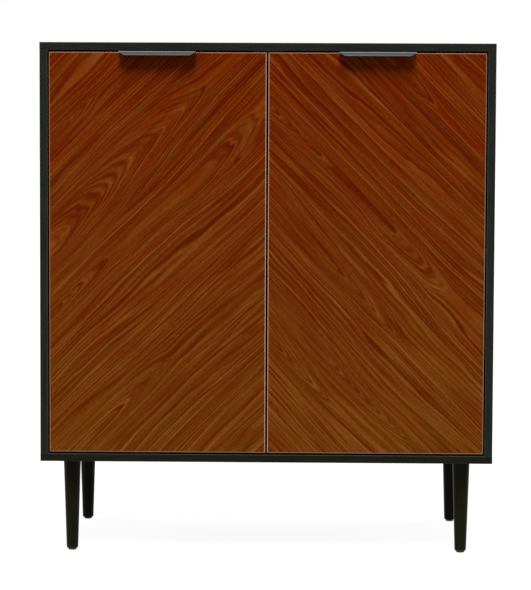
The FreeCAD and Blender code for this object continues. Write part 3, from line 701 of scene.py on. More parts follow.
    def veined(self, tree: Tree, along: Node) -> Node:
        """Draw dark veins with pale edges.

        Args:
            tree: The material's tree.
            along: Coordinates that follow the rings.

        Returns:
            A grey value.
        """
        level = add_node(
            tree,
            "ShaderNodeMapRange",
            {
                "Value": self.spread(tree, along, self.veins),
                "From Min": 0.5 - self.vein_reach,
                "From Max": 0.5 + self.vein_reach,
            },
        )
        return add_node(tree, "ShaderNodeValToRGB", {"Fac": level}, self.vein_profile)

    def gilded(self, tree: Tree, place: Socket, along: Node) -> Source:
        """Tell how golden the wood is: in patches, and more towards the foot.

        Args:
            tree: The material's tree.
            place: Object coordinates in metres.
            along: Coordinates that follow the rings.

        Returns:
            0 or less for red wood, 1 or more for golden.
        """
        height = add_node(tree, "ShaderNodeSeparateXYZ", {"Vector": place}).outputs["Z"]
        # Painted light: the wood turns more golden towards the foot, standing in for warmer light
        # there; the patches are the wood's own hue
        drift = add_node(
            tree,
            "ShaderNodeMapRange",
            {
                "Value": height,
                "From Min": self.drift_foot,
                "From Max": self.drift_top,
                "To Min": self.gold_drift,
                "To Max": -self.gold_drift,
            },
        )
        patches = (self.spread(tree, along, self.hue), self.hue.weight)
        return self.weighted(tree, self.gold_start, (patches, (drift, 1.0)))


@dataclass(frozen=True)
class Speckled(Finish):
    """A finish with a fine grain of two near colours, round or drawn out.

    Moulded plastic, plating, anodising and lacquer all read this way: an even
    ground with a slight cloud and a surface texture of a known size.
    """

    low: str = "#808080"
    high: str = "#909090"
    grain_mm: tuple[float, float, float] = (1.0, 1.0, 1.0)
    cloud_mm: float = 40.0
    cloud_weight: float = 0.35
    tone_low: float = 0.42
    tone_high: float = 0.93
    rough_low: float = 0.4
    rough_high: float = 0.95
    gloss_change: float = 0.06

    def draw(self, tree: Tree, place: Socket) -> Sockets:
        """Draw the grain over a slow cloud.

        Args:
            tree: The material's tree.
            place: Object coordinates in metres.

        Returns:
            Colour, roughness and relief.
        """
        grain = self.grains(tree, place, self.grain_mm, detail=3.0)
        cloud = self.grains(tree, place, (self.cloud_mm,) * 3, shift=2.0)
        mixed = self.weighted(tree, grain, ((cloud, self.cloud_weight),))
        tone = add_node(
            tree,
            "ShaderNodeMapRange",
            {"Value": mixed, "From Min": self.tone_low, "From Max": self.tone_high},
        )
        stops = ((0.0, self.low), (1.0, self.high))
        colour = add_node(tree, "ShaderNodeValToRGB", {"Fac": tone}, stops)
        rough = add_node(
            tree,
            "ShaderNodeMapRange",
            {
                "Value": mixed,
                "From Min": self.rough_low,
                "From Max": self.rough_high,
                "To Min": self.roughness - self.gloss_change,
                "To Max": self.roughness + self.gloss_change,
            },
        )
        return {"Base Color": colour, "Roughness": rough, "Height": grain}


@dataclass(frozen=True)
class PressedFibre(Finish):
    """Hardboard: pressed wood fibre, lacquered black towards the inside.

    The rear face stays the raw brown of the fibre, with a felted fleck.
    """

    inner_line: float = 0.1745
    fleck_mm: tuple[float, float, float] = (3.5, 3.5, 1.4)
    fleck_swirl: float = 0.6
    cloud_mm: float = 60.0
    cloud_weight: float = 0.2
    tone_low: float = 0.3
    tone_high: float = 0.9
    raw: Stops = ((0.0, "#54391f"), (0.5, "#6b4a2c"), (1.0, "#83603c"))
    lacquer: Stops = ((0.0, "#1a1b19"), (1.0, "#282925"))

    def draw(self, tree: Tree, place: Socket) -> Sockets:
        """Draw the fleck and change to the lacquer at the inner face.

        Args:
            tree: The material's tree.
            place: Object coordinates in metres.

        Returns:
            Colour and relief.
        """
        fleck = self.grains(
            tree, place, self.fleck_mm, detail=4.0, distortion=self.fleck_swirl
        )
        cloud = self.grains(tree, place, (self.cloud_mm,) * 3, shift=3.0)
        tone = add_node(
            tree,
            "ShaderNodeMapRange",
            {
                "Value": self.weighted(tree, fleck, ((cloud, self.cloud_weight),)),
                "From Min": self.tone_low,
                "From Max": self.tone_high,
            },
        )
        depth = add_node(tree, "ShaderNodeSeparateXYZ", {"Vector": place}).outputs["Y"]
        inside = add_node(
            tree, "ShaderNodeMath", {0: depth, 1: self.inner_line}, operation="LESS_THAN"
        )
        raw = add_node(tree, "ShaderNodeValToRGB", {"Fac": tone}, self.raw)
        lacquer = add_node(tree, "ShaderNodeValToRGB", {"Fac": tone}, self.lacquer)
        colour = add_node(
            tree, "ShaderNodeMix", {0: inside, 6: raw, 7: lacquer}, data_type="RGBA"
        ).outputs[2]
        return {"Base Color": colour, "Height": fleck}


# Meshes shared by the classes


def place_mesh(name: str, mesh: bpy.types.Mesh) -> bpy.types.Object:
    """Put a mesh into the scene as an object at the origin.

    Args:
        name: The object's name.
        mesh: Its mesh.

    Returns:
        The object.
    """
    piece = bpy.data.objects.new(name, mesh)
    bpy.context.scene.collection.objects.link(piece)
    return piece


def points_with_axes(
    places: Iterable[tuple[Vector, Vector]],
) -> bpy.types.Mesh:
    """Make loose points that carry the way each copy faces.

    Args:
        places: A point and an outward direction for each copy.

    Returns:
        A mesh of points with a vector attribute named axis.
    """
    placed = list(places)
    mesh = bpy.data.meshes.new("places")
    mesh.from_pydata([tuple(p) for p, _ in placed], [], [])
    facing = mesh.attributes.new("axis", "FLOAT_VECTOR", "POINT")
    for item, (_, way) in zip(facing.data, placed):
        item.vector = way
    return mesh


def islands(node: str) -> list[tuple[Vector, Vector]]:
    """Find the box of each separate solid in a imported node.

    Args:
        node: The node's name.

    Returns:
        Lowest and highest corners, one pair for each solid.
    """
    work = bmesh.new()
    work.from_mesh(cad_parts[node].data)
    bmesh.ops.remove_doubles(work, verts=work.verts, dist=WELD)
    found: list[tuple[Vector, Vector]] = []
    seen: set[int] = set()
    for first in work.verts:
        if first.index in seen:
            continue
        seen.add(first.index)
        stack, corners = [first], []
        while stack:
            vertex = stack.pop()
            corners.append(vertex.co.copy())
            for edge in vertex.link_edges:
                other = edge.other_vert(vertex)
                if other.index not in seen:
                    seen.add(other.index)
                    stack.append(other)
        low = Vector(tuple(min(c[i] for c in corners) for i in range(3)))
        high = Vector(tuple(max(c[i] for c in corners) for i in range(3)))
        found.append((low, high))
    work.free()
    return found


class NodeRecipe:
    """A Geometry Nodes tree with named inputs, run once on a mesh of points."""

    def __init__(self, name: str, sizes: dict[str, float]) -> None:
        """Start the tree.

        Args:
            name: The tree's name.
            sizes: Its named inputs with their values.
        """
        self.tree = bpy.data.node_groups.new(name, "GeometryNodeTree")
        face = self.tree.interface
        face.new_socket("Points", in_out="INPUT", socket_type="NodeSocketGeometry")
        for size in sizes:
            face.new_socket(size, in_out="INPUT", socket_type="NodeSocketFloat")
        face.new_socket("Seed", in_out="INPUT", socket_type="NodeSocketInt")
        face.new_socket("Finish", in_out="INPUT", socket_type="NodeSocketMaterial")
        face.new_socket("Result", in_out="OUTPUT", socket_type="NodeSocketGeometry")
        self.sizes = sizes
        self.given = add_node(self.tree, "NodeGroupInput").outputs

    def finish(self, master: Source) -> None:
        """Copy the master onto each point, turn the copies, and dress them.

        Args:
            master: The geometry to repeat, upright at the origin.
        """
        tree, given = self.tree, self.given
        facing = add_node(
            tree, "GeometryNodeInputNamedAttribute", {"Name": "axis"}, data_type="FLOAT_VECTOR"
        )
        lean = add_node(tree, "FunctionNodeAlignRotationToVector", {"Vector": facing}, axis="Z")
        angle = add_node(
            tree,
            "FunctionNodeRandomValue",
            {2: 0.0, 3: math.tau, "Seed": given["Seed"]},
            data_type="FLOAT",
        ).outputs[1]
        turn = add_node(
            tree, "FunctionNodeAxisAngleToRotation", {"Axis": (0.0, 0.0, 1.0), "Angle": angle}
        )
        rotation = add_node(
            tree,
            "FunctionNodeRotateRotation",
            {"Rotation": lean, "Rotate By": turn},
            rotation_space="LOCAL",
        )
        copies = add_node(
            tree,
            "GeometryNodeInstanceOnPoints",
            {"Points": given["Points"], "Instance": master, "Rotation": rotation},
        )
        real = add_node(tree, "GeometryNodeRealizeInstances", {"Geometry": copies})
        slope = add_node(tree, "GeometryNodeInputMeshEdgeAngle")
        crease = add_node(
            tree, "ShaderNodeMath", {0: slope, 1: CREASE}, operation="GREATER_THAN"
        )
        smooth = add_node(
            tree, "GeometryNodeSetShadeSmooth", {"Geometry": real, "Shade Smooth": True}
        )
        edged = add_node(
            tree,
            "GeometryNodeSetShadeSmooth",
            {"Geometry": smooth, "Selection": crease, "Shade Smooth": False},
            domain="EDGE",
        )
        dressed = add_node(
            tree, "GeometryNodeSetMaterial", {"Geometry": edged, "Material": given["Finish"]}
        )
        add_node(tree, "NodeGroupOutput", {0: dressed})

    def run(
        self,
        name: str,
        points: bpy.types.Mesh,
        finish: bpy.types.Material,
        seed: int,
        sizes: dict[str, float],
    ) -> bpy.types.Object:
        """Run the tree on points and keep the result as a plain mesh.

        Args:
            name: The new piece's name.
            points: Where the copies go, from points_with_axes.
            finish: The material of the copies.
            seed: Fixes the random turns.
            sizes: Values that replace the tree's own.

        Returns:
            The piece, with no modifier left on it.
        """
        piece = place_mesh(name, points)
        modifier = piece.modifiers.new("recipe", "NODES")
        modifier.node_group = self.tree
        values: Sockets = {**self.sizes, **sizes, "Seed": seed, "Finish": finish}
        for item in self.tree.interface.items_tree:
            if item.in_out == "INPUT" and item.name in values:
                modifier[item.identifier] = values[item.name]
        graph = bpy.context.evaluated_depsgraph_get()
        mesh = bpy.data.meshes.new_from_object(piece.evaluated_get(graph))
        piece.modifiers.remove(modifier)
        piece.data = mesh
        mesh.name = name
        return piece


# Sub-assemblies


@dataclass
class Wardrobe:
    """Every material of the sideboard, made once and shared by its pieces."""

    made: dict[str, bpy.types.Material] = field(default_factory=dict)

    def build(self) -> None:
        """Make the finishes."""
        finishes = (
            # Black melamine board: resin-soaked paper pressed on chipboard, with
            # the bottom board painted darker and browner as shade.
            GrainedMelamine(
                "melamine_across",
                0.55,
                specular=0.04,
                relief_mm=0.05,
                zones=(Zone("Z", 0.1, 0.16, (0.72, 0.62, 0.42)),),
            ),
            GrainedMelamine(
                "melamine_upright", 0.55, specular=0.04, relief_mm=0.05, grain=Grain.UPRIGHT
            ),
            WalnutFoil(
                "walnut_foil_left",
                0.45,
                specular=0.03,
                relief_mm=0.04,
                lean=45.0,
                middle=(-0.1685, 0.0, 0.471),
                hearts=(
                    Heart(130.0, 238.0, 340.0, 60.0),
                    Heart(240.0, 108.0, 80.0, 24.0),
                    Heart(37.0, 262.0, 120.0, 30.0),
                    Heart(43.0, -58.0, 120.0, 28.0),
                    Heart(-135.0, -95.0, 130.0, 34.0),
                ),
            ),
            WalnutFoil(
                "walnut_foil_right",
                0.45,
                specular=0.03,
                relief_mm=0.04,
                lean=-45.0,
                middle=(0.1685, 0.0, 0.471),
                hearts=(
                    Heart(40.0, -128.0, 150.0, 34.0),
                    Heart(36.0, 122.0, 130.0, 30.0),
                    Heart(-51.0, 118.0, 150.0, 34.0),
                    Heart(-202.0, 116.0, 130.0, 26.0),
                    Heart(-162.0, 242.0, 180.0, 24.0),
                    Heart(222.0, -90.0, 100.0, 26.0),
                ),
            ),
            # Tan ABS edging, trimmed and buffed: satin, with a faint milling ripple,
            # and painted darker as shade on a door's outer edges, beside the gaps.
            Speckled(
                "abs_edging",
                0.42,
                specular=0.3,
                relief_mm=0.02,
                low="#a57b62",
                high="#bd947b",
                grain_mm=(2.0, 2.0, 2.0),
                zones=(
                    Zone("X", 0.334, 0.4, (0.6, 0.45, 0.37)),
                    Zone("Z", 0.1, 0.1636, (0.6, 0.5, 0.42)),
                    Zone("Z", 0.7784, 0.8, (0.56, 0.45, 0.38)),
                ),
            ),
            # Aluminium strip, brushed along its length and anodised dark grey,
            # with a painted highlight along the lip's lower edge.
            Speckled(
                "anodised_aluminium",
                0.62,
                metallic=1.0,
                relief_mm=0.02,
                low="#494d4f",
                high="#55595b",
                grain_mm=(30.0, 0.5, 0.5),
                zones=(Zone("Z", 0.7748, 0.7768, (1.7, 1.55, 1.5)),),
            ),
            # Beech, turned and sprayed with black satin lacquer: painted shade on the
            # rear legs under the case, and a painted highlight on the foot's rounding.
            Speckled(
                "lacquered_beech",
                0.38,
                specular=0.05,
                relief_mm=0.03,
                low="#110f04",
                high="#1b1a0a",
                grain_mm=(1.2, 1.2, 24.0),
                zones=(
                    Zone("Y", 0.0, 0.2, (0.15, 0.15, 0.18)),
                    Zone("Z", 0.0, 0.0048, (5.0, 5.4, 9.0)),
                ),
            ),
            # Polyethylene glide, moulded with a light spark texture.
            Speckled(
                "moulded_polyethylene",
                0.5,
                specular=0.4,
                relief_mm=0.02,
                low="#3a3b38",
                high="#4b4c48",
                grain_mm=(0.7, 0.7, 0.7),
            ),
            # Nylon pins, moulded in smoke grey.
            Speckled(
                "moulded_nylon",
                0.45,
                relief_mm=0.02,
                low="#5a5c5c",
                high="#6d6f6f",
                grain_mm=(0.8, 0.8, 0.8),
            ),
            # Hinge steel, pressed and nickel plated: bright, with faint draw marks.
            Speckled(
                "nickel_plated_steel",
                0.24,
                metallic=1.0,
                relief_mm=0.01,
                low="#a9a59c",
                high="#c2beb4",
                grain_mm=(9.0, 9.0, 0.8),
            ),
            # Screw steel, zinc plated: bluish and a little duller than nickel.
            Speckled(
                "zinc_plated_steel",
                0.32,
                metallic=1.0,
                relief_mm=0.01,
                low="#9ba0a6",
                high="#b4b9be",
                grain_mm=(1.5, 1.5, 1.5),
            ),
            # Cams of die-cast zinc, left as cast.
            Speckled(
                "die_cast_zinc",
                0.48,
                metallic=1.0,
                relief_mm=0.05,
                low="#7c7e80",
                high="#95979a",
                grain_mm=(1.2, 1.2, 1.2),
            ),
            # Catch housing of ABS, moulded with a matt spark texture.
            Speckled(
                "moulded_abs",
                0.5,
                relief_mm=0.03,
                low="#2f3133",
                high="#3d4042",
                grain_mm=(0.9, 0.9, 0.9),
            ),
            # Sintered ferrite: charcoal, with a fine dry grit.
            Speckled(
                "sintered_ferrite",
                0.6,
                relief_mm=0.04,
                low="#2c2a29",
                high="#3f3c3a",
                grain_mm=(0.6, 0.6, 0.6),
            ),
            # Dowels of beech, fluted and left raw.
            Speckled(
                "raw_beech",
                0.6,
                relief_mm=0.05,
                low="#b58d5f",
                high="#cfa878",
                grain_mm=(1.0, 1.0, 14.0),
            ),
            PressedFibre("hardboard", 0.6, specular=0.2, relief_mm=0.08),
        )
        for finish in finishes:
            self.made[finish.name] = finish.make()
            log.info("finish %s", finish.name)

    def dress(self, node: str, finish: str) -> None:
        """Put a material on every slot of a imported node."""
        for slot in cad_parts[node].material_slots:
            slot.material = self.made[finish]


@dataclass
class Case:
    """The carcass: boards, shelves, back, corner fittings and catch."""

    wardrobe: Wardrobe
    across: tuple[str, ...] = ("top_board", "bottom_board", "lower_shelf", "upper_shelf")
    upright: tuple[str, ...] = ("left_side_board", "right_side_board")

    def build(self) -> None:
        """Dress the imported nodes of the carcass."""
        for node in self.across:
            self.wardrobe.dress(node, "melamine_across")
        for node in self.upright:
            self.wardrobe.dress(node, "melamine_upright")
        others = {
            "back_panel": "hardboard",
            "shelf_pins": "moulded_nylon",
            "case_dowels": "raw_beech",
            "case_cams": "die_cast_zinc",
            "cam_bolts": "zinc_plated_steel",
            "leg_bolts": "zinc_plated_steel",
            "tee_nuts": "zinc_plated_steel",
            "catch_housing": "moulded_abs",
            "catch_magnets": "sintered_ferrite",
        }
        for node, finish in others.items():
            self.wardrobe.dress(node, finish)
        log.info("case: %d nodes dressed", len(self.across + self.upright) + len(others))


@dataclass
class Legs:
    """Four turned legs that taper to a rounded foot on a plastic glide."""

    wardrobe: Wardrobe
    top_mm: float = 147.0
    top_radius_mm: float = 13.5
    foot_radius_mm: float = 9.0
    foot_round_mm: float = 2.0
    glide_mm: float = 2.5
    glide_radius_mm: float = 6.5
    glide_round_mm: float = 0.9
    sides: int = 64
    rings: int = 26
    crowding: float = 2.0
    seed: int = 3
    nodes: tuple[str, ...] = (
        "front_left_leg",
        "front_right_leg",
        "rear_left_leg",
        "rear_right_leg",
    )

    def build(self) -> None:
        """Turn the legs and the glides and let them ride on the case."""
        recipe = self.recipe()
        boxes = [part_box(node) for node in self.nodes]
        middles = [(low + high) / 2 for low, high in boxes]
        glide = self.sizes(
            self.glide_radius_mm, self.glide_radius_mm, self.glide_mm, self.glide_round_mm
        )
        for name, finish, slot, stood_for, foot_mm, sizes in (
            ("turned_legs", "lacquered_beech", "leg", self.nodes, self.glide_mm, self.leg_sizes()),
            ("round_glides", "moulded_polyethylene", "glide", ("foot_glides",), 0.0, glide),
        ):
            places = [
                (Vector((m.x, m.y, foot_mm * MM)), Vector((0.0, 0.0, 1.0))) for m in middles
            ]
            made = self.wardrobe.made[finish]
            piece = recipe.run(name, points_with_axes(places), made, self.seed, sizes)
            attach(piece, "case")
            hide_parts(*stood_for)
            log.info("%s: %d faces", name, len(piece.data.polygons))

    def sizes(self, *sizes_mm: float) -> dict[str, float]:
        """Name the sizes of one turning: top and foot radius, height, foot's round."""
        names = ("Top Radius", "Foot Radius", "Height", "Foot Round")
        return {name: size * MM for name, size in zip(names, sizes_mm)}

    def leg_sizes(self) -> dict[str, float]:
        """Name the sizes of a leg, which stands on its glide."""
        height_mm = self.top_mm - self.glide_mm
        return self.sizes(self.top_radius_mm, self.foot_radius_mm, height_mm, self.foot_round_mm)

    def recipe(self) -> NodeRecipe:
        """Describe one turning: a straight taper whose foot rounds off.

        Returns:
            The tree, whose rings crowd towards the foot.
        """
        turning = NodeRecipe("turning", self.leg_sizes())
        tree, given = turning.tree, turning.given
        blank = add_node(
            tree,
            "GeometryNodeMeshCylinder",
            {
                "Vertices": self.sides,
                "Side Segments": self.rings,
                "Radius": 1.0,
                "Depth": 1.0,
            },
        )
        spot = add_node(tree, "GeometryNodeInputPosition")
        x, y, z = add_node(tree, "ShaderNodeSeparateXYZ", {"Vector": spot}).outputs
        share = add_node(tree, "ShaderNodeMath", {0: z, 1: 0.5}, operation="ADD")
        share = add_node(
            tree, "ShaderNodeMath", {0: share, 1: self.crowding}, operation="POWER"
        )
        height = add_node(
            tree, "ShaderNodeMath", {0: share, 1: given["Height"]}, operation="MULTIPLY"
        )
        growth = add_node(
            tree,
            "ShaderNodeMath",
            {0: given["Top Radius"], 1: given["Foot Radius"]},
            operation="SUBTRACT",
        )
        taper = add_node(
            tree,
            "ShaderNodeMath",
            {0: share, 1: growth, 2: given["Foot Radius"]},
            operation="MULTIPLY_ADD",
        )
        cut = self.foot_cut(turning, height)
        radius = add_node(tree, "ShaderNodeMath", {0: taper, 1: cut}, operation="SUBTRACT")
        wide = add_node(tree, "ShaderNodeMath", {0: x, 1: radius}, operation="MULTIPLY")
        deep = add_node(tree, "ShaderNodeMath", {0: y, 1: radius}, operation="MULTIPLY")
        placed = add_node(tree, "ShaderNodeCombineXYZ", {"X": wide, "Y": deep, "Z": height})
        turning.finish(
            add_node(tree, "GeometryNodeSetPosition", {"Geometry": blank, "Position": placed})
        )
        return turning

    def foot_cut(self, turning: NodeRecipe, height: Node) -> Node:
        """Round the foot as a quarter circle.

        Args:
            turning: The tree of the turning.
            height: How high a ring is.

        Returns:
            How much the round takes off the radius there.
        """
        tree, rounding = turning.tree, turning.given["Foot Round"]
        below = add_node(
            tree, "ShaderNodeMath", {0: rounding, 1: height}, operation="SUBTRACT"
        )
        short = add_node(tree, "ShaderNodeMath", {0: below, 1: 0.0}, operation="MAXIMUM")
        full = add_node(tree, "ShaderNodeMath", {0: rounding, 1: rounding}, operation="MULTIPLY")
        part = add_node(tree, "ShaderNodeMath", {0: short, 1: short}, operation="MULTIPLY")
        left = add_node(tree, "ShaderNodeMath", {0: full, 1: part}, operation="SUBTRACT")
        chord = add_node(tree, "ShaderNodeMath", {0: left}, operation="SQRT")
        return add_node(tree, "ShaderNodeMath", {0: rounding, 1: chord}, operation="SUBTRACT")


@dataclass
class EdgePull:
    """A pull folded from sheet: flange, plate over the door's edge, and lip."""

    wardrobe: Wardrobe
    side: Side
    sheet_mm: float = 1.5
    bend_mm: float = 0.5
    lip_drop_mm: float = 5.0
    taper_mm: float = 8.0
    corner_mm: float = 2.5
    corner_steps: int = 4
    edge_mm: float = 0.3
    edge_steps: int = 2
    edge_from_deg: float = 40.0
    arc_steps: int = 6

    def build(self) -> bpy.types.Object:
        """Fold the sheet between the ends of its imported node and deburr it.

        Returns:
            The pull.
        """
        word = self.side.word
        name = f"{word}_folded_pull"
        mesh = self.folded(name, *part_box(f"{word}_edge_pull"))
        piece = place_mesh(name, mesh)
        mesh.materials.append(self.wardrobe.made["anodised_aluminium"])
        mesh.shade_smooth()
        soften = piece.modifiers.new("deburr", "BEVEL")
        soften.width = self.edge_mm * MM
        soften.segments = self.edge_steps
        soften.limit_method = "ANGLE"
        soften.angle_limit = math.radians(self.edge_from_deg)
        soften.harden_normals = True
        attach(piece, f"{word}_door")
        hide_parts(f"{word}_edge_pull")
        log.info("%s: %d faces", piece.name, len(mesh.polygons))
        return piece

    def folded(self, name: str, low: Vector, high: Vector) -> bpy.types.Mesh:
        """Draw the sheet as rows of four points along its folded middle line.

        Args:
            name: The mesh's name.
            low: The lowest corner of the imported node.
            high: Its highest corner.

        Returns:
            The closed sheet.
        """
        half, middle = (high.x - low.x) / 2, (high.x + low.x) / 2
        mid = self.sheet_mm * MM / 2
        door_top = high.z - 2 * mid
        # The lip's bend ends less than half a sheet behind the lip's rear face
        lip_end = low.y + 3 * mid
        line = self.fold(
            [
                Vector((low.y + mid, door_top - self.lip_drop_mm * MM)),
                Vector((low.y + mid, high.z - mid)),
                Vector((high.y - mid, high.z - mid)),
                Vector((high.y - mid, low.z)),
            ],
            self.bend_mm * MM + mid,
        )
        work = bmesh.new()
        rows = []
        for index, spot in enumerate(line):
            before, after = line[max(index - 1, 0)], line[min(index + 1, len(line) - 1)]
            way = (after - before).normalized()
            out = Vector((-way.y, way.x)) * mid
            row = []
            for sign in (1, -1):
                y, z = spot + out * sign
                drop = max(0.0, door_top - z) if spot.x < lip_end else 0.0
                slant = self.taper_mm / self.lip_drop_mm * drop
                reach = half - slant - self.rounded(drop)
                row += [
                    work.verts.new((middle - reach, y, z)),
                    work.verts.new((middle + reach, y, z)),
                ]
            rows.append(row)
        for one, two in zip(rows, rows[1:]):
            for a, b in ((0, 1), (1, 3), (3, 2), (2, 0)):
                work.faces.new((one[a], one[b], two[b], two[a]))
        for row in (rows[0], rows[-1]):
            work.faces.new((row[0], row[1], row[3], row[2]))
        bmesh.ops.recalc_face_normals(work, faces=work.faces)
        mesh = bpy.data.meshes.new(name)
        work.to_mesh(mesh)
        work.free()
        return mesh

    def rounded(self, drop: float) -> float:
        """Round the lower half of the lip's ends.

        Args:
            drop: How far a point is below the door's top.

        Returns:
            How far the rounding takes it inwards.
        """
        share = min(1.0, max(0.0, 2 * drop / (self.lip_drop_mm * MM) - 1))
        return self.corner_mm * MM * (1 - math.sqrt(1 - share * share))

    def fold(self, corners: list[Vector], radius: float) -> list[Vector]:
        """Round a line's inner corners into arcs, and divide the lip's lower half.

        Args:
            corners: The line's ends and corners, in y and z, from the lip's foot.
            radius: The arc's radius along the sheet's middle.

        Returns:
            The line with arcs in place of corners.
        """
        half_lip = self.lip_drop_mm * MM / 2
        line = [
            corners[0] + Vector((0, half_lip * step / self.corner_steps))
            for step in range(self.corner_steps + 1)
        ]
        for before, corner, after in zip(corners, corners[1:], corners[2:]):
            back = (before - corner).normalized()
            ahead = (after - corner).normalized()
            centre = corner + (back + ahead) * radius
            start = corner + back * radius - centre
            end = corner + ahead * radius - centre
            for step in range(self.arc_steps + 1):
                turn = math.pi / 2 * step / self.arc_steps
                line.append(centre + start * math.cos(turn) + end * math.sin(turn))
        line.append(corners[-1])
        return line


@dataclass
class Door:
    """A door: foiled panel, edging, pull, hinge cups and strike plate."""

    wardrobe: Wardrobe
    side: Side

    def build(self) -> None:
        """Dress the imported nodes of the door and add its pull."""
        word = self.side.word
        for part, finish in (
            ("door_panel", f"walnut_foil_{word}"),
            ("door_edge_band", "abs_edging"),
            ("hinge_cups", "nickel_plated_steel"),
            ("hinge_pins", "nickel_plated_steel"),
            ("strike_plate", "zinc_plated_steel"),
        ):
            self.wardrobe.dress(f"{word}_{part}", finish)
        EdgePull(self.wardrobe, self.side).build()
        log.info("%s door dressed", word)


@dataclass
class HingeArms:
    """The cranked hinge arms and their plates on the side boards."""

    wardrobe: Wardrobe

    def build(self) -> None:
        """Dress the arms and plates of both sides."""
        for side in Side:
            for part in ("hinge_arms", "hinge_plates"):
                self.wardrobe.dress(f"{side.word}_{part}", "nickel_plated_steel")
        log.info("hinge arms and plates dressed")


